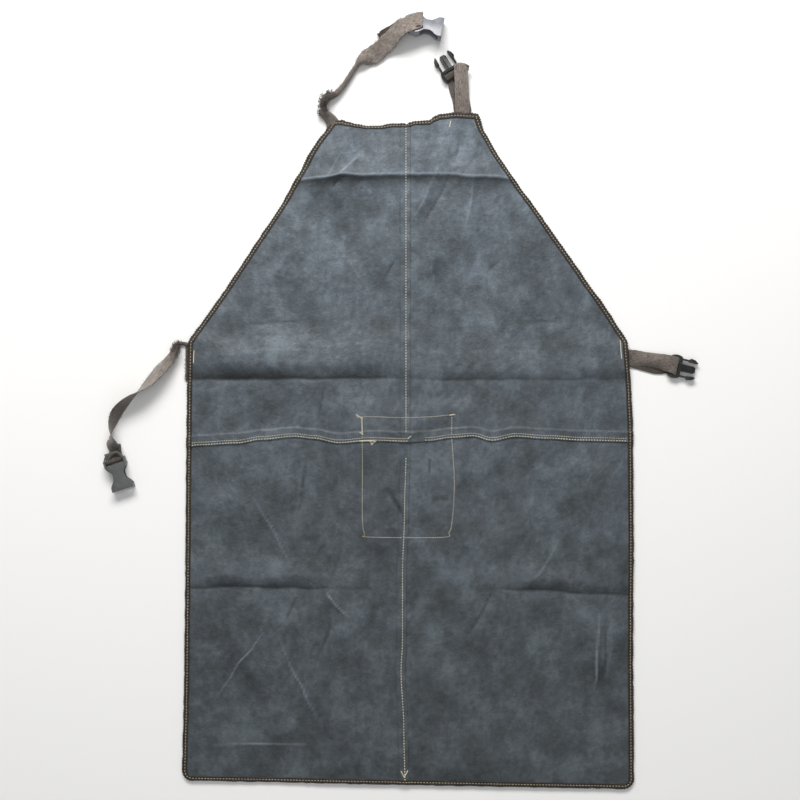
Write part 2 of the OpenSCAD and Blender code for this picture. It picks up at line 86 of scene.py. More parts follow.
def lattice_noise(x: Array, y: Array, scale: float, seed: int) -> Array:
    """Return smooth seeded noise between -1 and 1.

    Args:
        x: Places along X in mm.
        y: Places along Y in mm.
        scale: Distance between the noise's own points in mm.
        seed: Seed of the draw.

    Returns:
        The noise at each place.
    """
    grid = np.random.default_rng(seed).uniform(-1, 1, (128, 128))
    u, v = np.asarray(x, float) / scale + 64.0, np.asarray(y, float) / scale + 64.0
    i, j = np.floor(u).astype(int), np.floor(v).astype(int)
    s, t = ease(u - i), ease(v - j)
    at = lambda a, b: grid[(i + a) % 128, (j + b) % 128]
    low = at(0, 0) * (1 - s) + at(1, 0) * s
    high = at(0, 1) * (1 - s) + at(1, 1) * s
    return low * (1 - t) + high * t


def curve_points(points: list[tuple[float, ...]], step: float) -> Array:
    """Run a smooth curve through points of any number of values.

    Args:
        points: The points, the first two or three values of which are a place.
        step: Distance between the curve's own points.

    Returns:
        The curve's points, one row each.
    """
    p = np.array(points, float)
    p = np.vstack([2 * p[0] - p[1], p, 2 * p[-1] - p[-2]])
    rows = []
    for a, b, c, d in zip(p[:-3], p[1:-2], p[2:-1], p[3:]):
        n = max(2, int(np.linalg.norm(c[:3] - b[:3]) / step))
        t = np.linspace(0, 1, n, endpoint=False)[:, None]
        rows.append((2 * b + (c - a) * t + (2 * a - 5 * b + 4 * c - d) * t ** 2
                     + (3 * b - a - 3 * c + d) * t ** 3) / 2)
    return np.vstack(rows + [p[-2:-1]])


def mesh_object(name: str, points: Array, faces: Array, material: bpy.types.Material,
                uv: Array | None = None, crisp: float = 50.0) -> bpy.types.Object:
    """Make a mesh object at the origin.

    Args:
        name: Name of the piece.
        points: Points in mm, one row each.
        faces: Corner indices, one row for each face.
        material: The piece's finish.
        uv: The points' own pattern coordinates in metres.
        crisp: Angle in degrees above which an edge is shaded sharp.

    Returns:
        The object, in the scene.
    """
    mesh = bpy.data.meshes.new(name)
    mesh.from_pydata((np.asarray(points) * MM).tolist(), [], [list(map(int, f)) for f in faces])
    mesh.validate()
    mesh.polygons.foreach_set("use_smooth", [True] * len(mesh.polygons))
    mesh.set_sharp_from_angle(angle=math.radians(crisp))
    if uv is not None:
        layer = mesh.uv_layers.new(name="cloth")
        corner = np.zeros(len(mesh.loops), int)
        mesh.loops.foreach_get("vertex_index", corner)
        layer.data.foreach_set("uv", np.asarray(uv)[corner].ravel())
    mesh.materials.append(material)
    obj = bpy.data.objects.new(name, mesh)
    bpy.context.scene.collection.objects.link(obj)
    return obj


def grid_faces(rows: int, columns: int, first: int = 0, around: bool = False) -> Array:
    """Return the quads of a grid of points, facing up where X and Y rise with the indices."""
    r, c = np.meshgrid(np.arange(rows - 1), np.arange(columns if around else columns - 1),
                       indexing="ij")
    c2 = (c + 1) % columns
    quads = np.stack([r * columns + c, r * columns + c2, (r + 1) * columns + c2,
                      (r + 1) * columns + c], axis=-1)
    return quads.reshape(-1, 4) + first


def shell(x: Array, y: Array, front: Array, back: Array) -> tuple[Array, Array]:
    """Close two grids of points, one over the other, into a sheet with thickness.

    Args:
        x: X of the grid's points in mm.
        y: Y of the grid's points.
        front: Heights of the upper face.
        back: Heights of the lower face.

    Returns:
        The points and the quads of the closed sheet.
    """
    rows, columns = x.shape
    n = rows * columns
    points = np.vstack([np.stack([x, y, z], -1).reshape(-1, 3) for z in (front, back)])
    upper = grid_faces(rows, columns)
    index = np.arange(n).reshape(rows, columns)
    rim = np.concatenate([index[0, :-1], index[:-1, -1], index[-1, :0:-1], index[:0:-1, 0]])
    after = np.roll(rim, -1)
    wall = np.stack([rim, rim + n, after + n, after], -1)
    return points, np.vstack([upper, upper[:, ::-1] + n, wall])


# ---------------------------------------------------------------- finishes


def linear(value: str) -> tuple[float, float, float, float]:
    """Turn an sRGB hex colour such as "#5b6066" to linear values with alpha one."""
    parts = [int(value[i:i + 2], 16) / 255 for i in (1, 3, 5)]
    parts = [c / 12.92 if c <= 0.04045 else ((c + 0.055) / 1.055) ** 2.4 for c in parts]
    return (parts[0], parts[1], parts[2], 1.0)


def add_node(tree: bpy.types.NodeTree, kind: str, settings: dict | None = None,
             links: dict | None = None) -> bpy.types.Node:
    """Add a node to a tree.

    Args:
        tree: The tree that gets the node.
        kind: The node's type name.
        settings: Values for its properties, or for its inputs by name or number.
        links: The output sockets that its inputs are fed from, by name or number.

    Returns:
        The new node.
    """
    node = tree.nodes.new(kind)
    for key, value in (settings or {}).items():
        if isinstance(key, str) and hasattr(node, key):
            setattr(node, key, value)
        else:
            node.inputs[key].default_value = value
    for key, socket in (links or {}).items():
        tree.links.new(socket, node.inputs[key])
    return node


def color_ramp(tree: bpy.types.NodeTree, source: bpy.types.NodeSocket,
               stops: list[tuple[float, str]]) -> bpy.types.NodeSocket:
    """Add a colour ramp whose stops are hex colours and return its colour output."""
    node = add_node(tree, "ShaderNodeValToRGB", links={"Fac": source})
    band = node.color_ramp
    while len(band.elements) < len(stops):
        band.elements.new(0.5)
    for element, (at, value) in zip(band.elements, stops):
        element.position, element.color = at, linear(value)
    return node.outputs["Color"]


def noise(tree: bpy.types.NodeTree, vector: bpy.types.NodeSocket, size_mm: float,
          detail: float = 4.0, rough: float = 0.55,
          stretch: tuple = (1, 1, 1)) -> bpy.types.NodeSocket:
    """Add noise whose blotches are size_mm across, and return its value output."""
    turned = add_node(tree, "ShaderNodeMapping", {"Scale": stretch}, {"Vector": vector})
    node = add_node(tree, "ShaderNodeTexNoise",
                    {"Scale": 1 / (size_mm * MM), "Detail": detail, "Roughness": rough},
                    {"Vector": turned.outputs[0]})
    return node.outputs["Fac"]


def mixed(tree: bpy.types.NodeTree, factor: bpy.types.NodeSocket | float,
          a: bpy.types.NodeSocket | str, b: bpy.types.NodeSocket | str,
          how: str = "MIX") -> bpy.types.NodeSocket:
    """Mix two colours, each a socket or a hex value, and return the result's socket."""
    node = add_node(tree, "ShaderNodeMix", {"data_type": "RGBA", "blend_type": how})
    for key, value in ((0, factor), (6, a), (7, b)):
        if isinstance(value, bpy.types.NodeSocket):
            tree.links.new(value, node.inputs[key])
        else:
            node.inputs[key].default_value = linear(value) if isinstance(value, str) else value
    return node.outputs[2]


def scaled(tree: bpy.types.NodeTree, source: bpy.types.NodeSocket, low: float,
           high: float, of: tuple[float, float] = (0.0, 1.0)) -> bpy.types.NodeSocket:
    """Map a value from one range to another and return the result's socket."""
    node = add_node(tree, "ShaderNodeMapRange",
                    {"From Min": of[0], "From Max": of[1], "To Min": low, "To Max": high},
                    {"Value": source})
    return node.outputs[0]


class Finish:
    """A finish that builds its own material once."""

    def build(self, name: str) -> bpy.types.Material:
        """Build the material under a name and return it."""
        material = bpy.data.materials.new(name)
        material.use_nodes = True
        tree = material.node_tree
        tree.nodes.clear()
        shader = add_node(tree, "ShaderNodeBsdfPrincipled")
        add_node(tree, "ShaderNodeOutputMaterial", links={"Surface": shader.outputs[0]})
        self.dress(tree, shader)
        return material

    def dress(self, tree: bpy.types.NodeTree, shader: bpy.types.Node) -> None:
        """Set the shader's values and feed its inputs."""
        raise NotImplementedError

    def bumped(self, tree: bpy.types.NodeTree, shader: bpy.types.Node,
               layers: list[tuple[bpy.types.NodeSocket, float]]) -> None:
        """Stack bumps on a shader.

        Args:
            tree: The material's tree.
            shader: The shader whose normal is bumped.
            layers: Each height, between 0 and 1, with its depth in mm.
        """
        normal = None
        for height, depth in layers:
            links = {"Height": height}
            if normal is not None:
                links["Normal"] = normal
            normal = add_node(tree, "ShaderNodeBump", {"Strength": 1.0, "Distance": depth * MM},
                              links).outputs[0]
        tree.links.new(normal, shader.inputs["Normal"])


@dataclass(frozen=True)
class SplitLeather(Finish):
    """Split cowhide, dyed and smoothed: cloudy slate blue-grey with a low satin."""

    dark: str = "#3f464b"
    middle: str = "#58616a"
    light: str = "#747f8a"
    roughness: float = 0.56
    grain_mm: float = 1.3
    flesh: bool = False

    def dress(self, tree: bpy.types.NodeTree, shader: bpy.types.Node) -> None:
        """Cloudy dye over fine grain; creases rubbed lighter with a painted highlight on their
        ridges, and painted shade in their valleys and on slopes facing away from the key light.
        """
        place = add_node(tree, "ShaderNodeTexCoord").outputs["Object"]
        clouds = noise(tree, place, 75, 5, 0.6)
        patches = noise(tree, place, 22, 6, 0.62, (1.0, 0.7, 1))
        streaks = noise(tree, place, 8, 5, 0.62, (1.15, 0.85, 1))
        speck = noise(tree, place, 2.2, 3, 0.6)
        both = add_node(tree, "ShaderNodeMath", {"operation": "MULTIPLY_ADD", 1: 0.46},
                        {0: clouds, 2: scaled(tree, patches, 0.0, 0.32)}).outputs[0]
        both = add_node(tree, "ShaderNodeMath", {"operation": "ADD"},
                        {0: both, 1: scaled(tree, streaks, 0.0, 0.22)}).outputs[0]
        dye = color_ramp(tree, both, [(0.38, self.dark), (0.5, self.middle), (0.61, self.light)])
        dye = mixed(tree, scaled(tree, speck, 0.0, 0.28, (0.35, 0.7)), dye, self.dark)
        # Painted shade: the leather is multiplied darker towards the bottom (low object Y),
        # standing in for the key light falling off away from it.
        height = add_node(tree, "ShaderNodeSeparateXYZ", links={0: place}).outputs[1]
        fall = scaled(tree, height, 0.0, 1.0, (-0.5, 0.45))
        painted_falloff = color_ramp(tree, fall, [(0.0, "#b9bab5"), (0.5, "#d2d3d0"), (1.0, "#fdfefe")])
        dye = mixed(tree, 1.0, dye, painted_falloff, "MULTIPLY")
        # Painted highlight and painted shade from the crease relief: ridges lighter (rubbed, and a
        # painted highlight), valleys and slopes turned from the key light darker (painted shade).
        crease_rub_and_shade = add_node(tree, "ShaderNodeAttribute", {"attribute_name": "crease_rub_and_shade"}).outputs["Fac"]
        dye = mixed(tree, scaled(tree, crease_rub_and_shade, 0.0, 0.6, (0.0, 1.0)), dye, "#85909a")
        # Below 0: painted shade, towards near-black.
        dye = mixed(tree, scaled(tree, crease_rub_and_shade, 0.75, 0.0, (-1.0, 0.0)), dye, "#24282a")
        tree.links.new(dye, shader.inputs["Base Color"])
        tree.links.new(scaled(tree, patches, self.roughness + 0.1, self.roughness - 0.1,
                              (0.3, 0.7)), shader.inputs["Roughness"])
        shader.inputs["IOR"].default_value = 1.5
        shader.inputs["Specular IOR Level"].default_value = 0.3 if self.flesh else 0.42
        shader.inputs["Sheen Weight"].default_value = 0.25 if self.flesh else 0.06
        grain = add_node(tree, "ShaderNodeTexVoronoi",
                         {"Scale": 1 / (self.grain_mm * MM), "feature": "DISTANCE_TO_EDGE"},
                         {"Vector": place}).outputs["Distance"]
        self.bumped(tree, shader, [
            (noise(tree, place, 30, 5, 0.62), 3.2), (noise(tree, place, 8, 4, 0.6), 0.8),
            (scaled(tree, grain, 0.0, 1.0, (0.0, 0.3)), 0.05), (speck, 0.16)])


@dataclass(frozen=True)
class BindingLeather(Finish):
    """Thin leather strip, dyed near-black and folded: dull, rubbed brown on its fold."""

    dark: str = "#1d1916"
    worn: str = "#4a4038"

    def dress(self, tree: bpy.types.NodeTree, shader: bpy.types.Node) -> None:
        """Blotchy dye, rubbed where the strip bulges between stitches."""
        place = add_node(tree, "ShaderNodeTexCoord").outputs["Object"]
        blotch = noise(tree, place, 6, 5, 0.65)
        fine = noise(tree, place, 1.4, 3, 0.6)
        dye = color_ramp(tree, blotch, [(0.35, self.dark), (0.55, "#2e2823"), (0.75, self.worn)])
        tree.links.new(mixed(tree, scaled(tree, fine, 0.0, 0.4, (0.4, 0.7)), dye, self.dark),
                       shader.inputs["Base Color"])
        shader.inputs["Roughness"].default_value = 0.62
        shader.inputs["Specular IOR Level"].default_value = 0.4
        self.bumped(tree, shader, [(blotch, 0.35), (fine, 0.12)])


@dataclass(frozen=True)
class CottonWebbing(Finish):
    """Woven cotton webbing, washed: heathered taupe yarns in a twill of even ribs."""

    light: str = "#a89f97"
    middle: str = "#7c736c"
    dark: str = "#403833"
    rib_mm: float = 1.7

    def dress(self, tree: bpy.types.NodeTree, shader: bpy.types.Node) -> None:
        """Ribs along and across the cloth's own coordinates, with heathered yarns."""
        cloth = add_node(tree, "ShaderNodeUVMap", {"uv_map": "cloth"}).outputs[0]
        place = add_node(tree, "ShaderNodeTexCoord").outputs["Object"]
        yarn = noise(tree, cloth, 2.6, 3, 0.6, (0.5, 2.4, 1))
        blotch = noise(tree, place, 11, 4, 0.6)
        fuzz = noise(tree, place, 0.8, 2, 0.5)
        turn = add_node(tree, "ShaderNodeMapping", {"Rotation": (0, 0, math.radians(63))},
                        {"Vector": cloth}).outputs[0]
        rib = add_node(tree, "ShaderNodeTexWave",
                       {"Scale": 2 * math.pi / (20 * self.rib_mm * MM) / 1.0, "Distortion": 0.6,
                        "Detail": 1.0, "Detail Scale": 2.0},
                       {"Vector": turn}).outputs["Fac"]
        tone = color_ramp(tree, yarn, [(0.28, self.dark), (0.47, self.middle), (0.7, self.light)])
        tone = mixed(tree, scaled(tree, rib, 0.45, 0.0, (0.0, 0.8)), tone, self.dark)
        tone = mixed(tree, scaled(tree, blotch, 0.0, 0.4, (0.45, 0.75)), tone, self.light)
        # Painted shade: a per-point attribute darkens the webbing where it lies in shadow (faces
        # turned from the key light, layers under others, stretches in the buckles' slots), with a
        # little dirt.
        soil_and_shade = add_node(tree, "ShaderNodeAttribute", {"attribute_name": "soil_and_shade"}).outputs["Fac"]
        tone = mixed(tree, scaled(tree, soil_and_shade, 0.0, 0.9), tone, "#2a231f")
        tree.links.new(tone, shader.inputs["Base Color"])
        shader.inputs["Roughness"].default_value = 0.92
        shader.inputs["Specular IOR Level"].default_value = 0.2
        shader.inputs["Sheen Weight"].default_value = 0.35
        shader.inputs["Sheen Roughness"].default_value = 0.5
        self.bumped(tree, shader, [(rib, 0.22), (yarn, 0.18), (fuzz, 0.12)])


@dataclass(frozen=True)
class MouldedAcetal(Finish):
    """Acetal, injection moulded: charcoal, fine spark-eroded texture, a soft gloss."""

    color: str = "#464a49"
    worn: str = "#6b6f6d"
    roughness: float = 0.38

    def dress(self, tree: bpy.types.NodeTree, shader: bpy.types.Node) -> None:
        """Even colour with faint dust and a fine moulded texture."""
        place = add_node(tree, "ShaderNodeTexCoord").outputs["Object"]
        dust = noise(tree, place, 5, 4, 0.6)
        grit = noise(tree, place, 0.5, 2, 0.5)
        tone = mixed(tree, scaled(tree, dust, 0.0, 0.5, (0.45, 0.8)), self.color, self.worn)
        tree.links.new(tone, shader.inputs["Base Color"])
        tree.links.new(scaled(tree, dust, self.roughness - 0.06, self.roughness + 0.12,
                              (0.3, 0.7)), shader.inputs["Roughness"])
        shader.inputs["IOR"].default_value = 1.48
        self.bumped(tree, shader, [(dust, 0.08), (grit, 0.03)])


@dataclass(frozen=True)
class SpunThread(Finish):
    """Twisted cotton sewing thread, undyed: cream, dull, darker between its plies."""

    color: str = "#e2d9c2"
    dark: str = "#8b8069"

    def dress(self, tree: bpy.types.NodeTree, shader: bpy.types.Node) -> None:
        """Cream yarn with soiled stretches."""
        place = add_node(tree, "ShaderNodeTexCoord").outputs["Object"]
        soil_and_shade = noise(tree, place, 16, 3, 0.6)
        ply = noise(tree, place, 0.7, 2, 0.6)
        tone = mixed(tree, scaled(tree, soil_and_shade, 0.0, 0.6, (0.4, 0.75)), self.color, self.dark)
        tree.links.new(mixed(tree, scaled(tree, ply, 0.0, 0.25, (0.4, 0.7)), tone, self.dark),
                       shader.inputs["Base Color"])
        shader.inputs["Roughness"].default_value = 0.85
        shader.inputs["Specular IOR Level"].default_value = 0.25
        self.bumped(tree, shader, [(ply, 0.12)])


@dataclass(frozen=True)
class StudioFloor(Finish):
    """Painted board, matt: the pale floor of the studio."""

    color: str = "#f4f4f3"

    def dress(self, tree: bpy.types.NodeTree, shader: bpy.types.Node) -> None:
        """One even, matt colour with the faintest cloud."""
        place = add_node(tree, "ShaderNodeTexCoord").outputs["Object"]
        cloud = noise(tree, place, 400, 2, 0.5)
        tree.links.new(mixed(tree, scaled(tree, cloud, 0.0, 0.2), self.color, "#ececeb"),
                       shader.inputs["Base Color"])
        shader.inputs["Roughness"].default_value = 0.9
        shader.inputs["Specular IOR Level"].default_value = 0.1


@dataclass
class Finishes:
    """The finishes that the object's pieces share."""

    leather: bpy.types.Material = field(init=False)
    flesh: bpy.types.Material = field(init=False)
    binding: bpy.types.Material = field(init=False)
    webbing: bpy.types.Material = field(init=False)
    plastic: bpy.types.Material = field(init=False)
    glossy: bpy.types.Material = field(init=False)
    black: bpy.types.Material = field(init=False)
    frayed: bpy.types.Material = field(init=False)
    thread: bpy.types.Material = field(init=False)
    edge_thread: bpy.types.Material = field(init=False)
    floor: bpy.types.Material = field(init=False)

    def __post_init__(self) -> None:
        """Build every material once."""
        self.leather = SplitLeather().build("split cowhide, dyed and smoothed")
        self.flesh = SplitLeather("#42423f", "#55534e", "#6b6862", 0.85, 1.6, True).build(
            "split cowhide, flesh side, brushed")
        self.binding = BindingLeather().build("thin leather strip, dyed and folded")
        self.webbing = CottonWebbing().build("cotton webbing, woven and washed")
        self.plastic = MouldedAcetal("#4e5250", "#6d706e").build("acetal, injection moulded")
        self.frayed = CottonWebbing("#7b7067", "#584e47", "#2f2925").build(
            "cotton yarn, frayed")
        # Painted highlight: the neck socket gets its own lighter, glossier copy of the socket
        # plastic; the lighter colour stands in for the key light reflected on its top face.
        self.glossy = MouldedAcetal("#74767e", "#85878e", 0.24).build(
            "acetal, injection moulded, lightened as painted highlight")
        self.black = MouldedAcetal("#1c1e1f", "#33363a", 0.3).build(
            "acetal, injection moulded, black")
        self.thread = SpunThread().build("cotton thread, spun and twisted")
        self.edge_thread = SpunThread("#b8ad92", "#6a614e").build("cotton thread, soiled")
        self.floor = StudioFloor().build("painted board, matt")


# ---------------------------------------------------------------- the lie of the leather


class Fold(Enum):
    """How a crease stands in the leather."""

    RIDGE = "ridge"
    VALLEY = "valley"
    STEP = "step"


@dataclass(frozen=True)
class Crease:
    """One crease: a line in mm with a height and a reach to either side.

    The first side is the one to the left of the way from start to end.
    """

    kind: Fold
    start: tuple[float, float]
    end: tuple[float, float]
    height: float
    left: float
    right: float
    bow: float = 0.0
    fade: tuple[float, float] = (0.3, 0.3)

    def relief(self, x: Array, y: Array) -> Array:
        """Return the height in mm that the crease adds at each place."""
        ax, ay = self.start
        length = math.dist(self.start, self.end)
        ux, uy = (self.end[0] - ax) / length, (self.end[1] - ay) / length
        t = ((x - ax) * ux + (y - ay) * uy) / length
        inside = np.clip(t, 0, 1)
        wander = 1.6 * lattice_noise(t * length, x * 0, 26, 7 + int(abs(ax)))
        d = (y - ay) * ux - (x - ax) * uy - self.bow * 4 * inside * (1 - inside) - wander
        ends = ease(t / self.fade[0]) * ease((1 - t) / self.fade[1])
        side = np.where(d > 0, d / self.left, -d / self.right)
        strength = self.height * ends * (1 + 0.3 * lattice_noise(t * length, x * 0, 48, 31))
        if self.kind is Fold.STEP:
            hump = np.where(side < 1, 1 - (1 - side) ** 2, np.exp(-(((side - 1) / 1.15) ** 2)))
            return strength * np.where(d > 0, hump, 0.2 * side * np.exp(1 - side))
        sign = 1 if self.kind is Fold.RIDGE else -1
        return sign * strength * np.exp(-side)


CREASES = [
    # The two folds across the bib and the one across the skirt, from being stored
    Crease(Fold.RIDGE, (-196, 371), (178, 373), 6.2, 25, 8, 12, (0.1, 0.1)),
    Crease(Fold.STEP, (-345, 86), (40, 90), 8.6, 29, 34, 1, (0.08, 0.3)),
    Crease(Fold.STEP, (-50, 89), (345, 90), 3.4, 22, 26, -2, (0.35, 0.08)),
    Crease(Fold.STEP, (-350, -213), (-20, -215), 4.6, 21, 26, 1, (0.08, 0.45)),
    Crease(Fold.STEP, (84, -214), (350, -225), 4.8, 21, 26, 1, (0.35, 0.08)),
    Crease(Fold.RIDGE, (-306, 120), (-70, 130), 1.8, 34, 24, 4, (0.35, 0.45)),
    # Smaller creases
    Crease(Fold.VALLEY, (-57, 183), (-14, 270), 2.3, 7, 10, 2, (0.3, 0.3)),
    Crease(Fold.RIDGE, (-116, 366), (-56, 424), 2.6, 6, 14, 2, (0.5, 0.5)),
    Crease(Fold.VALLEY, (-112, 362), (-92, 380), 2.6, 5, 7, 1, (0.5, 0.5)),
    Crease(Fold.VALLEY, (66, 396), (14, 300), 3.6, 13, 15, 3, (0.45, 0.45)),
    Crease(Fold.RIDGE, (48, 412), (-2, 306), 2.6, 14, 16, 4, (0.5, 0.5)),
    Crease(Fold.VALLEY, (108, 240), (134, 262), 2.2, 9, 9, 0, (0.5, 0.5)),
    Crease(Fold.VALLEY, (54, 158), (88, 160), 2.0, 11, 11, 0, (0.5, 0.5)),
    Crease(Fold.VALLEY, (-143, -8), (-162, -128), 2.7, 9, 14, 0, (0.35, 0.35)),
    Crease(Fold.VALLEY, (-92, -80), (-110, -205), 2.6, 15, 20, 5, (0.35, 0.35)),
    Crease(Fold.VALLEY, (-110, -252), (-128, -312), 3.0, 8, 10, 2, (0.35, 0.35)),
    Crease(Fold.RIDGE, (-122, -214), (-82, -262), 2.6, 7, 9, 0, (0.35, 0.35)),
    Crease(Fold.VALLEY, (-158, -220), (-180, -266), 2.0, 8, 8, 0, (0.4, 0.4)),
    Crease(Fold.VALLEY, (-33, -66), (-6, -116), 2.6, 6, 8, 2, (0.3, 0.3)),
    Crease(Fold.VALLEY, (-22, -120), (-12, -176), 1.6, 6, 8, 0, (0.4, 0.4)),
    Crease(Fold.VALLEY, (31, -22), (27, -58), 2.0, 4, 6, 1, (0.4, 0.4)),
    Crease(Fold.VALLEY, (30, -86), (62, -84), 2.2, 6, 8, 0, (0.4, 0.4)),
    Crease(Fold.VALLEY, (66, -66), (100, -78), 2.0, 9, 9, 0, (0.4, 0.4)),
    Crease(Fold.VALLEY, (126, -206), (82, -286), 2.7, 10, 12, 3, (0.35, 0.35)),
    Crease(Fold.VALLEY, (160, -384), (124, -452), 3.0, 14, 14, 0, (0.4, 0.4)),
    Crease(Fold.VALLEY, (286, -236), (279, -404), 1.5, 5, 7, 1, (0.2, 0.2)),
    Crease(Fold.RIDGE, (275, -240), (268, -380), 1.2, 5, 5, 1, (0.3, 0.3)),
    Crease(Fold.RIDGE, (-240, -60), (-168, -190), 1.5, 14, 14, 6, (0.4, 0.4)),
    Crease(Fold.RIDGE, (-286, -388), (-196, -262), 1.2, 8, 8, 3, (0.4, 0.4)),
    Crease(Fold.RIDGE, (-196, -260), (-118, -420), 1.4, 10, 10, -4, (0.4, 0.4)),
    Crease(Fold.RIDGE, (232, -120), (160, -226), 1.4, 14, 14, 4, (0.4, 0.4)),
    Crease(Fold.RIDGE, (-300, -437), (-130, -440), 0.9, 3, 5, 0, (0.3, 0.3)),
    Crease(Fold.VALLEY, (-238, 169), (-150, 170), 1.1, 4, 5, 0, (0.35, 0.35)),
    Crease(Fold.VALLEY, (134, 170), (262, 174), 0.9, 4, 6, 0, (0.35, 0.35)),
    Crease(Fold.VALLEY, (-120, 90), (-128, 22), 2.2, 9, 12, 0, (0.35, 0.35)),
    Crease(Fold.VALLEY, (148, 78), (206, 30), 1.6, 10, 12, 0, (0.4, 0.4)),
    Crease(Fold.RIDGE, (-70, 452), (-150, 330), 3.0, 34, 40, 0, (0.5, 0.5)),
    Crease(Fold.RIDGE, (96, 420), (70, 270), 3.2, 24, 36, 8, (0.45, 0.45)),
    Crease(Fold.RIDGE, (-120, 300), (-50, 200), 2.4, 26, 34, 6, (0.45, 0.45)),
    Crease(Fold.VALLEY, (76, 452), (66, 396), 3.2, 16, 14, 0, (0.45, 0.45)),
    Crease(Fold.VALLEY, (-148, 440), (-164, 398), 3.0, 14, 18, 0, (0.45, 0.45)),
    Crease(Fold.VALLEY, (30, 250), (70, 214), 2.4, 14, 18, 0, (0.5, 0.5)),
    Crease(Fold.RIDGE, (20, 300), (40, 190), 1.8, 18, 22, 6, (0.4, 0.4)),
    Crease(Fold.VALLEY, (-190, 250), (-176, 180), 1.6, 16, 18, 0, (0.45, 0.45)),
    Crease(Fold.VALLEY, (-84, 322), (-92, 236), 1.8, 16, 20, 0, (0.45, 0.45)),
]


@dataclass(frozen=True)
class Cut:
    """The apron's cut and seams in mm, the same sizes as the solid model has."""

    hem_half: float = 325.5
    shoulder_half: float = 316.0
    shoulder_y: float = 142.0
    top_left_x: float = -108.0
    top_right_x: float = 100.0
    top_y: float = 465.0
    top_tilt: float = 5.0
    hem_y: float = -497.0
    hem_tilt: float = 6.0
    corner_r: float = 14.0
    leather_t: float = 1.4
    lap_x: float = 3.0
    hidden_x: float = -10.0
    lap_y: float = -2.0
    hidden_y: float = 12.0
    row_x: float = -3.0
    row_y: float = 0.0
    row_gap: float = 3.6
    binding_w: float = 8.0
    binding_out: float = 1.0
    pocket_x: tuple[float, float] = (-66.0, 64.0)
    pocket_y: tuple[float, float] = (-140.0, 33.0)
    allowance: float = 4.0
    flap_axis_y: float = 29.7
    flap_h: float = 58.0
    flap_extra: float = 5.0

    def left(self, y: Array) -> Array:
        """Return X of the left edge at each nominal height."""
        return self._side(np.asarray(y, float), self.top_left_x)

    def right(self, y: Array) -> Array:
        """Return X of the right edge at each nominal height."""
        return -self._side(np.asarray(y, float), -self.top_right_x)

    def _side(self, y: Array, top: float) -> Array:
        """Return X of a left-hand edge that ends at top."""
        slope = (y - self.shoulder_y) / (self.top_y - self.shoulder_y)
        straight = -self.shoulder_half - (self.hem_half - self.shoulder_half) * (
            self.shoulder_y - y) / (self.shoulder_y - self.hem_y)
        edge = np.where(y > self.shoulder_y,
                        -self.shoulder_half + (top + self.shoulder_half) * slope, straight)
        up = np.clip(self.corner_r - (y - self.hem_y), 0, self.corner_r)
        return edge + self.corner_r - np.sqrt(self.corner_r ** 2 - up ** 2)


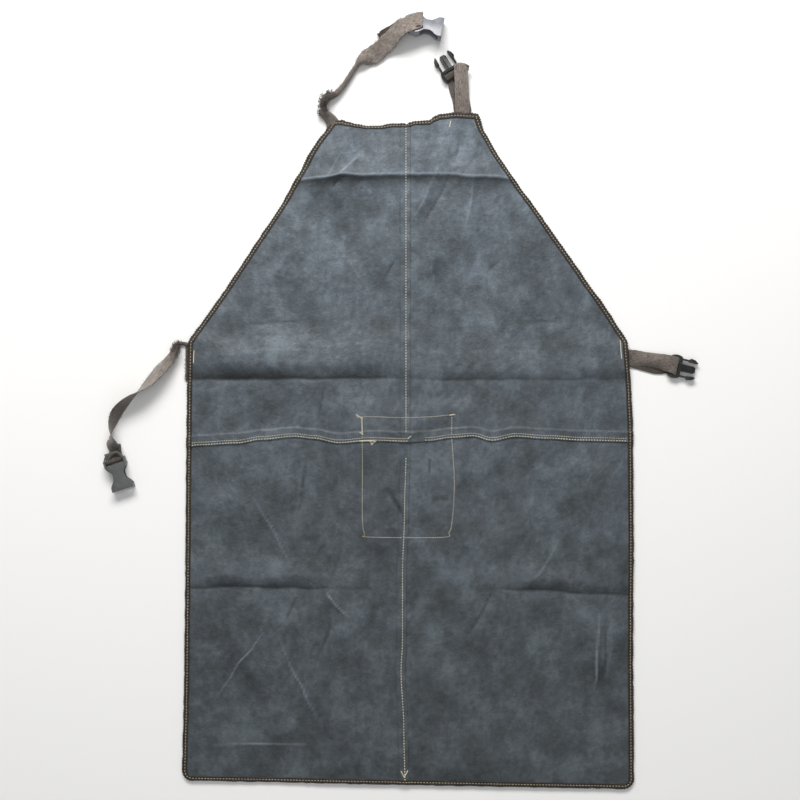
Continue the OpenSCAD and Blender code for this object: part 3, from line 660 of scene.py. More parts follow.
@dataclass
class Lie:
    """How the leather lies: where each place of the flat cut ends up, and how high."""

    cut: Cut = field(default_factory=Cut)
    table_back: float = 1.05
    lap_step: float = 1.42

    def place(self, x: Array, y: Array) -> tuple[Array, Array]:
        """Move places of the flat cut to where they lie.

        Args:
            x: X in the flat, symmetric cut in mm.
            y: Y in the flat cut.

        Returns:
            X and Y on the table.
        """
        x, y = np.broadcast_arrays(np.asarray(x, float), np.asarray(y, float))
        c = self.cut
        rise = np.clip((y - c.shoulder_y) / (c.top_y - c.shoulder_y), 0, 1.2)
        middle = (c.left(y) + c.right(y)) / 2
        half = np.maximum((c.right(y) - c.left(y)) / 2, 1)
        across = np.clip((x - middle) / half, -1.1, 1.1)
        dy = c.top_tilt * rise * across - c.hem_tilt * np.clip(-y / -c.hem_y, 0, 1) * across
        # Edges that wander: the top hem's waves, the bib's hollow slopes, the full sides
        top = ramp(x, [(-108, 0), (-96, 0), (-87, -3), (-73, -6), (-58, -9.2), (-40, -9.8),
                       (-22, -7.6), (-8, -8.6), (-3, -9.4), (2, -8), (10, -5.6), (30, -5.8),
                       (40, 0), (46, 2.6), (70, 3.6), (88, 1.6), (100, 0)])
        dy = dy + top * np.exp(-np.clip(c.top_y - y, 0, None) / 26.0)
        inward_left = ramp(y, [(-497, 0), (-350, 1.0), (50, -1), (142, 0), (220, 3.6),
                               (340, 4.4), (384, 1), (425, -3.4), (465, 0)])
        inward_right = ramp(y, [(-497, 0), (-350, -1), (-100, -5), (20, -6), (60, -4.6),
                                (142, 0), (190, -1), (230, 1.6), (320, 5), (365, 8.5),
                                (405, 10), (440, 7), (465, 0)])
        dx = np.where(across < 0, inward_left, -inward_right) * np.abs(across) ** 3
        seam_y = ramp(x, [(-318, -9), (-302, -6.8), (-247, -4), (-211, 1.4), (-163, 5.6),
                          (-136, 2.9), (-100, -3.5), (-53, 0), (0, -1.4), (30, 0), (63, 4.3),
                          (93, 6.4), (121, 0), (154, 5.8), (199, 2.9), (251, 0), (320, -1.4)])
        dy = dy + seam_y * np.exp(-(y / 45.0) ** 2)
        seam_x = ramp(y, [(-497, -1.5), (-418, -3), (-333, -7), (-290, -5), (-197, -5),
                          (-97, -2), (-20, 0), (465, 0)])
        dx = dx + seam_x * np.exp(-(x / 110.0) ** 2)
        return x + dx, y + dy

    def _cover(self, x: Array, y: Array) -> Array:
        """Return 1 where something lies under the leather, easing to 0 around it."""
        blocks = [(-75.0, 73.0, -146.0, 41.0), (-136.0, -90.0, 415.0, 480.0),
                  (64.0, 94.0, 424.0, 480.0), (-330.0, -276.0, 74.0, 140.0),
                  (275.0, 330.0, 102.0, 134.0)]
        total = np.zeros(np.broadcast(x, y).shape)
        for x0, x1, y0, y1 in blocks:
            away = np.hypot(np.maximum(np.maximum(x0 - x, x - x1), 0),
                            np.maximum(np.maximum(y0 - y, y - y1), 0))
            total = np.maximum(total, ease(1 - away / 24))
        return total

    def relief(self, x: Array, y: Array) -> Array:
        """Return how far the leather stands off what it lies on, at places on the table."""
        h = 2.3 + 2.6 * lattice_noise(x, y, 95, 3) + 1.5 * lattice_noise(x, y, 46, 5)
        h = h + 0.5 * lattice_noise(x, y, 21, 11) + 0.1 * lattice_noise(x, y, 9, 13)
        for crease in CREASES:
            h = h + crease.relief(x, y)
        return np.logaddexp(0, h * 2.2) / 2.2

    def _edge_room(self, x: Array, y: Array) -> Array:
        """Return how near a flat place is to the cut's edge, from 0 at it to 1 well inside."""
        c = self.cut
        side = np.minimum(x - c.left(y), c.right(y) - x)
        return ease(np.minimum(np.minimum(side, c.top_y - y), y - c.hem_y) / 34 + 0.12)

    def back(self, x: Array, y: Array) -> Array:
        """Return the height of the leather's lower face at flat places, laps left out."""
        px, py = self.place(x, y)
        room = self._edge_room(np.asarray(x, float), np.asarray(y, float))
        return (self.table_back + 2.5 * self._cover(px, py)
                + self.relief(px, py) * (0.25 + 0.75 * room))

    def raise_left(self, x: Array) -> Array:
        """Return 1 where a left panel lies on the right one's hidden edge."""
        return ease((np.asarray(x, float) - self.cut.hidden_x + 2.6) / 2.4)

    def raise_bib(self, y: Array) -> Array:
        """Return 1 where a bib panel lies on the skirt's hidden edge."""
        return ease((self.cut.hidden_y + 2.6 - np.asarray(y, float)) / 2.4)

    def steps(self, is_left: bool, is_bib: bool, x: Array, y: Array) -> Array:
        """Return how many thicknesses of leather lie under a panel at flat places."""
        c = self.cut
        over_x = self.raise_left(x)
        over_y = self.raise_bib(y)
        under_left = np.where(np.asarray(x) < c.lap_x + 0.4, 1.0, 0.0) * over_x
        if is_left and is_bib:
            return over_x + over_y * (1 + 0.35 * over_x)
        if is_bib:
            return over_y * (1 + 0.6 * under_left * ease((x - c.hidden_x) / 2))
        return over_x if is_left else over_x * 0

    def front(self, x: Array, y: Array) -> Array:
        """Return the height of the leather's visible face at flat places."""
        x, y = np.broadcast_arrays(np.asarray(x, float), np.asarray(y, float))
        c = self.cut
        count = np.zeros(x.shape)
        for is_left in (True, False):
            for is_bib in (True, False):
                mine = ((x <= c.lap_x) == is_left) & ((y >= c.lap_y) == is_bib)
                count = np.where(mine, self.steps(is_left, is_bib, x, y), count)
        return self.back(x, y) + c.leather_t + self.lap_step * count

    def on_face(self, path: Array, above: float = 0.0) -> Array:
        """Lay a flat path on the leather's visible face.

        Args:
            path: Places in the flat cut, one row each.
            above: Height over the face in mm.

        Returns:
            The path's points on the table, with heights.
        """
        x, y = self.place(path[:, 0], path[:, 1])
        return np.stack([x, y, self.front(path[:, 0], path[:, 1]) + above], -1)


# ---------------------------------------------------------------- leather panels


@dataclass
class LeatherPanels:
    """The four lapped leather panels, with painted highlight and painted shade along their creases.
    """

    lie: Lie
    finishes: Finishes
    coarse: float = 3.2
    fine: float = 1.0

    def build(self) -> dict[str, bpy.types.Object]:
        """Build the four panels and return them by the solid that each replaces."""
        made = {}
        for node, name, is_left, is_bib in (
                ("bib_panel_left", "bib_leather_left", True, True),
                ("bib_panel_right", "bib_leather_right", False, True),
                ("skirt_panel_left", "skirt_leather_left", True, False),
                ("skirt_panel_right", "skirt_leather_right", False, False)):
            made[node] = self._panel(name, is_left, is_bib)
            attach(made[node], "apron")
            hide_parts(node)
            LOG.info("%s: %d faces", name, len(made[node].data.polygons))
        return made

    def _rows(self, is_bib: bool) -> Array:
        """Return the nominal heights of a panel's rows of points."""
        c = self.lie.cut
        low, high = (c.lap_y, c.top_y) if is_bib else (c.hem_y, c.hidden_y)
        sharp = [88.0, 378.0] if is_bib else [-213.0, -222.0]
        rows, y = [low, low + 0.4], low + 1.4
        while y < high - 0.6:
            rows.append(y)
            near = min(abs(y - s) for s in sharp) < 9 or abs(y - 5) < 13 or y < c.hem_y + 16
            y += 1.3 if near else self.coarse
        return np.array(rows + [high - 0.4, high])

    def _columns(self, y: Array, is_left: bool) -> Array:
        """Return X of the points of each row, one row of the result for each height."""
        c = self.lie.cut
        if is_left:
            steady = np.concatenate([np.arange(-60, -16, 3.0), np.arange(-16, c.lap_x, self.fine),
                                     [c.lap_x - 0.4, c.lap_x]])
            edge = c.left(y)
        else:
            steady = np.concatenate([[c.hidden_x, c.hidden_x + 0.4],
                                     np.arange(c.hidden_x + 1.4, 12, self.fine),
                                     np.arange(13, 60, 3.0)])
            edge = c.right(y)
        count = 86
        share = np.concatenate([[0, 0.0015], np.linspace(0.008, 1, count)])[:-1]
        if is_left:
            loose = edge[:, None] + (steady[0] - edge[:, None]) * share[None, :]
            return np.hstack([loose, np.repeat(steady[None, :], len(y), 0)])
        loose = edge[:, None] + (steady[-1] - edge[:, None]) * share[None, ::-1]
        return np.hstack([np.repeat(steady[None, :], len(y), 0), loose])

    def _panel(self, name: str, is_left: bool, is_bib: bool) -> bpy.types.Object:
        """Build one panel."""
        lie, c = self.lie, self.lie.cut
        rows = self._rows(is_bib)
        x = self._columns(rows, is_left)
        y = np.repeat(rows[:, None], x.shape[1], 1)
        px, py = lie.place(x, y)
        back = lie.back(x, y) + lie.lap_step * lie.steps(is_left, is_bib, x, y)
        if not is_bib:
            back = back - 0.02
        front = back + c.leather_t
        for edge in ((0, slice(None)), (-1, slice(None)), (slice(None), 0), (slice(None), -1)):
            front[edge] -= 0.28
            back[edge] += 0.18
        points, faces = shell(px, py, front, back)
        obj = mesh_object(name, points, faces, self.finishes.leather, crisp=75)
        obj.data.materials.append(self.finishes.flesh)
        n = (x.shape[0] - 1) * (x.shape[1] - 1)
        obj.data.polygons.foreach_set("material_index", [0] * n + [1] * (len(faces) - n))
        # Painted highlight on ridges and painted shade in valleys and on slopes, kept as a
        # per-point attribute.
        crease_rub_and_shade = self._crease_rub_and_shade(px, py)
        both = np.concatenate([crease_rub_and_shade.ravel(), np.zeros(crease_rub_and_shade.size)])
        obj.data.attributes.new("crease_rub_and_shade", "FLOAT", "POINT").data.foreach_set(
            "value", both.astype(np.float32))
        return obj

    def _crease_rub_and_shade(self, x: Array, y: Array) -> Array:
        """Return the painted tone of each place of the leather: above 0 ridges rubbed lighter with
        a painted highlight, below 0 painted shade in valleys and on slopes facing away from the key
        light.
        """
        d = 3.0
        here = self.lie.relief(x, y)
        around = (self.lie.relief(x + d, y) + self.lie.relief(x - d, y)
                  + self.lie.relief(x, y + d) + self.lie.relief(x, y - d)) / 4
        # Ridges above their surroundings come out lighter (rubbed, painted highlight), valleys
        # darker (painted shade).
        bend = np.clip((here - around) * 3.0, -0.8, 0.8)
        # Slopes that rise towards +Y face away from the key light and get painted shade.
        slope = (self.lie.relief(x, y + d) - self.lie.relief(x, y - d)) / (2 * d)
        return np.clip(bend - np.clip(slope - 0.08, 0, 1) * 2.4, -1, 1)


# ---------------------------------------------------------------- edge binding


@dataclass
class EdgeBinding:
    """A strip folded round the leather's edge, in seven lengths."""

    lie: Lie
    finishes: Finishes
    step: float = 1.15
    thick: float = 0.9
    seen_w: float = 6.6

    def corners(self) -> list[tuple[Array, str]]:
        """Return the flat outline as lengths of points, each with its solid's name."""
        c = self.lie.cut
        n = lambda a, b: max(2, int(math.dist(a, b) / self.step))
        line = lambda a, b: np.linspace(a, b, n(a, b), endpoint=False)
        left_top, right_top = (c.top_left_x, c.top_y), (c.top_right_x, c.top_y)
        left_sh, right_sh = (-c.shoulder_half, c.shoulder_y), (c.shoulder_half, c.shoulder_y)
        y0 = c.hem_y + c.corner_r
        left_low, right_low = (float(c.left(y0)), y0), (float(c.right(y0)), y0)
        turn = np.radians(np.linspace(0, 90, 20, endpoint=False))
        r = c.corner_r
        right_arc = np.stack([right_low[0] - r + r * np.cos(turn), y0 - r * np.sin(turn)], -1)
        left_arc = np.stack([left_low[0] + r - r * np.sin(turn), y0 - r * np.cos(turn)], -1)
        hem = np.vstack([right_arc, line((right_low[0] - r, c.hem_y), (left_low[0] + r, c.hem_y)),
                         left_arc])
        middle = (c.row_x, c.top_y)
        return [(line(left_top, middle), "binding_top_left"),
                (line(middle, right_top), "binding_top_right"),
                (line(right_top, right_sh), "binding_slope_right"),
                (line(right_sh, right_low), "binding_side_right"), (hem, "binding_hem"),
                (line(left_low, left_sh), "binding_side_left"),
                (line(left_sh, left_top), "binding_slope_left")]

    def outline(self) -> tuple[Array, Array, Array]:
        """Return the whole outline, its outward mitred directions and each length's start."""
        parts = [p for p, _ in self.corners()]
        points = np.vstack(parts)
        after, before = np.roll(points, -1, 0), np.roll(points, 1, 0)
        normal = lambda d: unit(np.stack([-d[:, 1], d[:, 0]], -1))
        na, nb = normal(points - before), normal(after - points)
        mitre = (na + nb) / (1 + (na * nb).sum(1, keepdims=True))
        return points, mitre, np.cumsum([0] + [len(p) for p in parts])

    def row(self, inset: float) -> Array:
        """Return the closed flat path that runs inset mm inside the edge."""
        points, mitre, _ = self.outline()
        inner = points - mitre * inset
        return np.vstack([inner, inner[:1]])

    def _profile(self) -> Array:
        """Return the folded strip's section: distance outside the edge, height over the face."""
        t, w, out = self.thick, self.seen_w, self.lie.cut.binding_out
        low = -self.lie.cut.leather_t
        return np.array([
            (-w, 0.04), (-w - 0.1, 0.45 * t), (-w + 0.25, 0.9 * t), (-w + 0.9, 1.05 * t),
            (-w + 2.4, 0.95 * t), (-w / 2 - 0.5, 0.66 * t), (-w / 2 + 0.5, 0.66 * t),
            (-2.2, 0.98 * t), (-1.0, 1.1 * t), (0.1, 0.9 * t), (0.72, 0.35 * t),
            (out, low / 2), (0.72, low - 0.3), (0.0, low - 0.8 * t), (-1.2, low - t),
            (-w / 2, low - 0.7 * t), (-w + 0.6, low - t), (-w, low - 0.5 * t), (-w, low - 0.04),
            (-0.05, low - 0.04), (-0.05, 0.04)])

    def build(self) -> dict[str, bpy.types.Object]:
        """Build the seven lengths and return them by the solid that each replaces."""
        points, mitre, starts = self.outline()
        profile = self._profile()
        made = {}
        along = np.concatenate([[0], np.cumsum(np.linalg.norm(np.diff(points, axis=0), axis=1))])
        for (_, node), a, b in zip(self.corners(), starts[:-1], starts[1:]):
            at = np.arange(a, b + 1) % len(points)
            p, m = points[at], mitre[at]
            s = along[at] if b < len(points) else np.append(along[at[:-1]], along[-1] + 1)
            pucker = 0.42 * np.cos(2 * np.pi * s / 4.1) + 0.4 * lattice_noise(s, s * 0, 7, 31)
            swell = 0.14 * np.cos(2 * np.pi * s / 4.1) + 0.12 * lattice_noise(s, s * 0, 5, 33)
            if node == "binding_top_right":
                pucker[:3] -= 1.2
            rings, coords = [], []
            for n, z in profile:
                outer = max(0.0, 1 + n / 3) if n > -3 else 0.0
                inner = max(0.0, (-n - 5) / 3) if z > -0.5 else 0.0
                q = p + m * (n + pucker * outer - 0.5 * pucker * inner)[:, None]
                x, y = self.lie.place(q[:, 0], q[:, 1])
                edge = np.minimum(n, -0.1)
                flat = p + m * edge
                base = self.lie.front(flat[:, 0], flat[:, 1])
                lift = z + (swell if z > 0.3 else 0)
                if z < -0.9:
                    lift = np.maximum(lift, 0.05 - base)
                rings.append(np.stack([x, y, base + lift], -1))
                coords.append(np.stack([s * MM, np.full(len(s), n * MM)], -1))
            grid = np.stack(rings, 1)
            count = len(profile)
            faces = grid_faces(len(at), count, around=True)
            caps = [list(range(count)), list(range((len(at) - 1) * count, len(at) * count))[::-1]]
            name = node.replace("binding_", "") + "_binding"
            obj = mesh_object(name, grid.reshape(-1, 3), faces.tolist() + caps,
                              self.finishes.binding, np.stack(coords, 1).reshape(-1, 2), 60)
            repair_normals(obj)
            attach(obj, "apron")
            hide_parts(node)
            made[node] = obj
            LOG.info("%s: %d faces", name, len(obj.data.polygons))
        return made


def repair_normals(obj: bpy.types.Object) -> None:
    """Turn all faces of a closed mesh outwards."""
    work = bmesh.new()
    work.from_mesh(obj.data)
    bmesh.ops.recalc_face_normals(work, faces=work.faces)
    work.to_mesh(obj.data)
    work.free()


# ---------------------------------------------------------------- repeated things along paths


@dataclass
class AlongPath:
    """A Geometry Nodes tree that repeats one small mesh along paths."""

    name: str
    material: bpy.types.Material
    unit_mesh: bpy.types.Object
    seed: int = 1

    def tree(self) -> bpy.types.NodeTree:
        """Build the tree with its named inputs and return it."""
        tree = bpy.data.node_groups.new(self.name, "GeometryNodeTree")
        face = tree.interface
        face.new_socket("Geometry", in_out="INPUT", socket_type="NodeSocketGeometry")
        for label, value in (("Pitch", 4 * MM), ("Length", 3 * MM), ("Width", MM),
                             ("Height", MM), ("Turn", 0.1), ("Tilt", 0.05), ("Spread", 0.0001)):
            socket = face.new_socket(label, in_out="INPUT", socket_type="NodeSocketFloat")
            socket.default_value = value
        face.new_socket("Piece", in_out="INPUT", socket_type="NodeSocketObject")
        face.new_socket("Geometry", in_out="OUTPUT", socket_type="NodeSocketGeometry")
        given = add_node(tree, "NodeGroupInput").outputs
        curve = add_node(tree, "GeometryNodeMeshToCurve", links={"Mesh": given["Geometry"]})
        spaced = add_node(tree, "GeometryNodeResampleCurve", {"mode": "LENGTH"},
                          {"Curve": curve.outputs[0], "Length": given["Pitch"]})
        tangent = add_node(tree, "GeometryNodeInputTangent")
        facing = add_node(tree, "FunctionNodeAlignRotationToVector", {"axis": "X"},
                          {"Vector": tangent.outputs[0]})
        piece = add_node(tree, "GeometryNodeObjectInfo", links={"Object": given["Piece"]})
        size = add_node(tree, "ShaderNodeCombineXYZ",
                        links={0: given["Length"], 1: given["Width"], 2: given["Height"]})
        negative = {k: add_node(tree, "ShaderNodeMath", {"operation": "MULTIPLY", 1: -1.0},
                                {0: given[k]}).outputs[0] for k in ("Turn", "Tilt", "Spread")}
        box = [add_node(tree, "ShaderNodeCombineXYZ", links={0: t, 1: t, 2: u}).outputs[0]
               for t, u in ((negative["Tilt"], negative["Turn"]), (given["Tilt"], given["Turn"]))]
        wobble = add_node(tree, "FunctionNodeRandomValue",
                          {"data_type": "FLOAT_VECTOR", "Seed": self.seed},
                          {0: box[0], 1: box[1]})
        placed = add_node(tree, "GeometryNodeInstanceOnPoints",
                          links={"Points": spaced.outputs[0], "Instance": piece.outputs["Geometry"],
                                 "Rotation": facing.outputs[0], "Scale": size.outputs[0]})
        turned = add_node(tree, "GeometryNodeRotateInstances",
                          links={"Instances": placed.outputs[0], "Rotation": wobble.outputs[0]})
        reach = [add_node(tree, "ShaderNodeCombineXYZ", links={0: t, 1: t}).outputs[0]
                 for t in (negative["Spread"], given["Spread"])]
        offset = add_node(tree, "FunctionNodeRandomValue",
                          {"data_type": "FLOAT_VECTOR", "Seed": self.seed + 5},
                          {0: reach[0], 1: reach[1]})
        moved = add_node(tree, "GeometryNodeTranslateInstances",
                         links={"Instances": turned.outputs[0], "Translation": offset.outputs[0]})
        solid = add_node(tree, "GeometryNodeRealizeInstances",
                         links={"Geometry": moved.outputs[0]})
        dressed = add_node(tree, "GeometryNodeSetMaterial", {"Material": self.material},
                           {"Geometry": solid.outputs[0]})
        add_node(tree, "NodeGroupOutput", links={"Geometry": dressed.outputs[0]})
        return tree

    def repeat(self, name: str, paths: list[Array], **sizes: float) -> bpy.types.Object:
        """Repeat the small mesh along paths.

        Args:
            name: Name of the piece that results.
            paths: The paths' points in mm.
            **sizes: Values for the tree's named inputs, in metres or radians.

        Returns:
            One plain mesh of all the copies.
        """
        mesh = bpy.data.meshes.new(name)
        points, edges, first = [], [], 0
        for path in paths:
            points.append(path * MM)
            edges += [(first + i, first + i + 1) for i in range(len(path) - 1)]
            first += len(path)
        mesh.from_pydata(np.vstack(points).tolist(), edges, [])
        obj = bpy.data.objects.new(name, mesh)
        bpy.context.scene.collection.objects.link(obj)
        modifier = obj.modifiers.new("repeat", "NODES")
        modifier.node_group = self.tree()
        for item in modifier.node_group.interface.items_tree:
            if item.in_out == "INPUT" and item.name in sizes:
                modifier[item.identifier] = float(sizes[item.name])
            elif item.in_out == "INPUT" and item.name == "Piece":
                modifier[item.identifier] = self.unit_mesh
        result = bpy.data.meshes.new_from_object(
            obj.evaluated_get(bpy.context.evaluated_depsgraph_get()))
        obj.modifiers.remove(modifier)
        obj.data = result
        result.name = name
        result.polygons.foreach_set("use_smooth", [True] * len(result.polygons))
        LOG.info("%s: %d faces", name, len(result.polygons))
        return obj


def stitch_unit() -> bpy.types.Object:
    """Return one stitch of length, width and height one: two plies that dip at both ends."""
    stations = [(-0.5, 0.1, -0.62), (-0.43, 0.6, -0.24), (-0.22, 0.96, 0.0), (0.0, 1.0, 0.05),
                (0.22, 0.96, 0.0), (0.43, 0.6, -0.24), (0.5, 0.1, -0.62)]
    around = 8
    points = []
    for k, (x, size, dip) in enumerate(stations):
        for i in range(around):
            angle = 2 * math.pi * i / around
            radius = 0.5 * size * (1 + 0.14 * math.cos(2 * angle + 1.1 * k))
            points.append((x, radius * math.cos(angle), dip + radius * math.sin(angle)))
    faces = grid_faces(len(stations), around, around=True)[:, ::-1].tolist()
    faces += [list(range(around)), list(range(len(points) - around, len(points)))[::-1]]
    mesh = bpy.data.meshes.new("stitch_unit")
    mesh.from_pydata(points, [], faces)
    return bpy.data.objects.new("stitch_unit", mesh)


def fibre_unit() -> bpy.types.Object:
    """Return one loose fibre of length, width and height one, curled and tapered."""
    stations = np.linspace(0, 1, 7)
    around = 4
    points = []
    for s in stations:
        y, z, size = 0.8 * math.sin(2.6 * s), 0.6 * s * s, 0.15 * (1 - 0.6 * s)
        for i in range(around):
            angle = 2 * math.pi * i / around
            points.append((s, y + size * math.cos(angle), z + size * math.sin(angle)))
    faces = grid_faces(len(stations), around, around=True)[:, ::-1].tolist()
    faces += [list(range(around)), list(range(len(points) - around, len(points)))[::-1]]
    mesh = bpy.data.meshes.new("fibre_unit")
    mesh.from_pydata(points, [], faces)
    return bpy.data.objects.new("fibre_unit", mesh)


# ---------------------------------------------------------------- stitching


@dataclass
class Stitching:
    """All the rows of stitches on the leather's face."""

    lie: Lie
    binding: EdgeBinding
    finishes: Finishes
    pitch: float = 4.0
    length: float = 2.7
    width: float = 1.5

    def build(self) -> dict[str, bpy.types.Object]:
        """Build every row and return the pieces by the solid that each replaces."""
        c = self.lie.cut
        dot = dict(pitch=3.3, length=1.9, width=1.25)
        rows = {
            "centre_seam_thread": ("centre_seam_stitches", {}, [
                self._line((c.row_x, c.hidden_y + 2), (c.row_x, c.top_y - c.binding_w - 1)),
                self._line((c.row_x, c.hem_y + 3), (c.row_x, -26))]),
            "waist_seam_thread": ("waist_seam_stitches", {}, [
                self._line((-c.shoulder_half + 6, c.row_y), (-2, c.row_y)),
                self._line((26, c.row_y), (c.shoulder_half - 4, c.row_y))]),
            "pocket_thread": ("pocket_stitches", dot, self._pocket_rows()),
            "flap_thread": ("flap_stitches", dot, [
                self._line((c.pocket_x[0] - 7, c.pocket_y[1] + 1), (c.row_x - 3, c.pocket_y[1])),
                self._line((c.row_x + 3, c.pocket_y[1]), (c.pocket_x[1] + 3, c.pocket_y[1] + 1))]),
            "strap_tack_thread": ("strap_tack_stitches", dict(pitch=1.3, length=2.6, width=1.5), [
                self._line((-308.5, 112), (-308.2, 128)), self._line((306.8, 118), (306.2, 143)),
                self._line((61, 448), (62, 454)), self._line((-74, 37), (-66, 31)),
                self._line((-66.5, 33), (-66, 12)), self._line((-69, 12), (-65, 9)),
                self._line((-68, -0.6), (-48, -1.4)), self._line((-55, -1), (-52, -6)),
                self._line((-52, -6), (-47, -2)), self._line((0, 4), (4, 7)),
                self._line((60, 33.5), (66, 34.5)), self._line((-8, -478), (-4, -486)),
                self._line((1, -477), (-4, -486))])}
        made = {}
        for node, (name, changed, paths) in rows.items():
            made[node] = self._sew(name, [self.lie.on_face(p, 0.12) for p in paths], **changed)
            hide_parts(node)
        second = self._sew("waist_seam_second_row", [
            self.lie.on_face(p, 0.08) for p in (
                self._line((-c.shoulder_half + 6, c.row_gap), (-4, c.row_gap)),
                self._line((26, c.row_gap), (c.shoulder_half - 4, c.row_gap)))], **dot)
        made["waist_second"] = second
        edge = self.binding.row(self.binding.seen_w / 2)
        path = self.lie.on_face(edge, 0.66 * self.binding.thick + 0.2)
        made["binding_thread"] = self._sew("binding_stitches", [path], 4.4, 3.0, 1.3,
                                            self.finishes.edge_thread)
        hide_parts("binding_thread")
        return made

    def _line(self, a: tuple[float, float], b: tuple[float, float]) -> Array:
        """Return a straight flat path with a point every 2 mm."""
        return np.linspace(a, b, max(3, int(math.dist(a, b) / 2)))

    def _pocket_rows(self) -> list[Array]:
        """Return the pocket's sides and foot as flat paths."""
        (x0, x1), (y0, y1) = self.lie.cut.pocket_x, self.lie.cut.pocket_y
        corners = [(x0, y1), (x0, -8), (x0 + 1, -60), (x0 + 2, -118), (x0 + 6, -136),
                   (x0 + 12, y0), (x1 - 12, y0), (x1 - 3, -133), (x1 + 1, -118),
                   (x1 + 3.5, -66), (x1 - 1, -4), (x1 - 1, y1)]
        row = curve_points([(x, y, 0) for x, y in corners], 2.0)[:, :2]
        centre_gap, waist_y, waist_gap, fewest_points = 3, 1.5, 3.5, 3

        def on_seam(at: Array) -> Array:
            """Tell which points lie where the row is hidden by the centre or the waist seam."""
            return ((np.abs(at[..., 0] - self.lie.cut.row_x) < centre_gap)
                    | (np.abs(at[..., 1] - waist_y) < waist_gap))

        cuts = np.flatnonzero(np.diff(on_seam(row).astype(int))) + 1
        return [p for p in np.split(row, cuts)
                if len(p) > fewest_points and not on_seam(p[len(p) // 2])]

    def _sew(self, name: str, paths: list[Array], pitch: float = 0, length: float = 0,
             width: float = 0, thread: bpy.types.Material | None = None) -> bpy.types.Object:
        """Sew rows of stitches on the apron's body."""
        maker = AlongPath(name, thread or self.finishes.thread, stitch_unit(), seed=len(name))
        width = width or self.width
        obj = maker.repeat(name, paths, Pitch=(pitch or self.pitch) * MM,
                           Length=(length or self.length) * MM, Width=width * MM,
                           Height=0.8 * width * MM, Turn=0.22, Tilt=0.06, Spread=0.16 * MM)
        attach(obj, "apron")
        return obj


# ---------------------------------------------------------------- pocket and flap


@dataclass
class Pocket:
    """The pocket on the wearer's face, and the flap over its mouth."""

    cut: Cut
    finishes: Finishes

    def build(self) -> dict[str, bpy.types.Object]:
        """Build both sheets and return them by the solid that each replaces."""
        c = self.cut
        (x0, x1), (y0, y1) = c.pocket_x, c.pocket_y
        a = c.allowance
        pocket = self._sheet("pocket_leather", x0 - a, x1 + a, y0 - a, y1 - 2 * a,
                             lambda y: 1.72 + 0 * y, 12)
        flap = self._sheet("pocket_flap_leather", x0 - a - c.flap_extra, x1 + a + c.flap_extra,
                           c.flap_axis_y - c.flap_h, y1 + a + 2,
                           lambda y: 0.05 + 1.67 * ease((y - c.flap_axis_y + 4.5) / 6.5), 9)
        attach(pocket, "apron")
        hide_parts("pocket_panel")
        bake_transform(flap)
        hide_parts("pocket_flap", "flap_sewn_edge")
        for obj in (pocket, flap):
            LOG.info("%s: %d faces", obj.name, len(obj.data.polygons))
        return {"pocket_panel": pocket, "pocket_flap": flap}

    def _sheet(self, name: str, x0: float, x1: float, y0: float, y1: float, low: object,
               corner: float) -> bpy.types.Object:
        """Build a flat sheet of leather with rounded lower corners.

        Args:
            name: Name of the piece.
            x0: Left side in mm.
            x1: Right side.
            y0: Lower side.
            y1: Upper side.
            low: Function of Y that gives the lower face's height.
            corner: Radius of the two lower corners.

        Returns:
            The sheet.
        """
        rows = np.concatenate([[y0, y0 + 0.4], np.arange(y0 + 1.2, y1 - 0.5, 1.6), [y1 - 0.4, y1]])
        share = np.concatenate([[0, 0.003], np.linspace(0.012, 0.988, 70), [0.997, 1]])
        up = np.clip(corner - (rows - y0), 0, corner)
        inset = corner - np.sqrt(np.maximum(corner ** 2 - up ** 2, 0))
        x = (x0 + inset)[:, None] + (x1 - x0 - 2 * inset)[:, None] * share[None, :]
        y = np.repeat(rows[:, None], x.shape[1], 1)
        x = x + 0.35 * lattice_noise(y, x, 30, 41) * (np.abs(x - (x0 + x1) / 2) > 20)
        back = low(y) + 0.06 * np.abs(lattice_noise(x, y, 14, 43))
        front = back + self.cut.leather_t - 0.12
        for edge in ((0, slice(None)), (-1, slice(None)), (slice(None), 0), (slice(None), -1)):
            front[edge] -= 0.25
            back[edge] += 0.2
        points, faces = shell(x, y, front, back)
        obj = mesh_object(name, points, faces, self.finishes.leather, crisp=75)
        # The painted highlight-and-shade attribute is present but all zero on this sheet.
        obj.data.attributes.new("crease_rub_and_shade", "FLOAT", "POINT")
        return obj


# ---------------------------------------------------------------- webbing


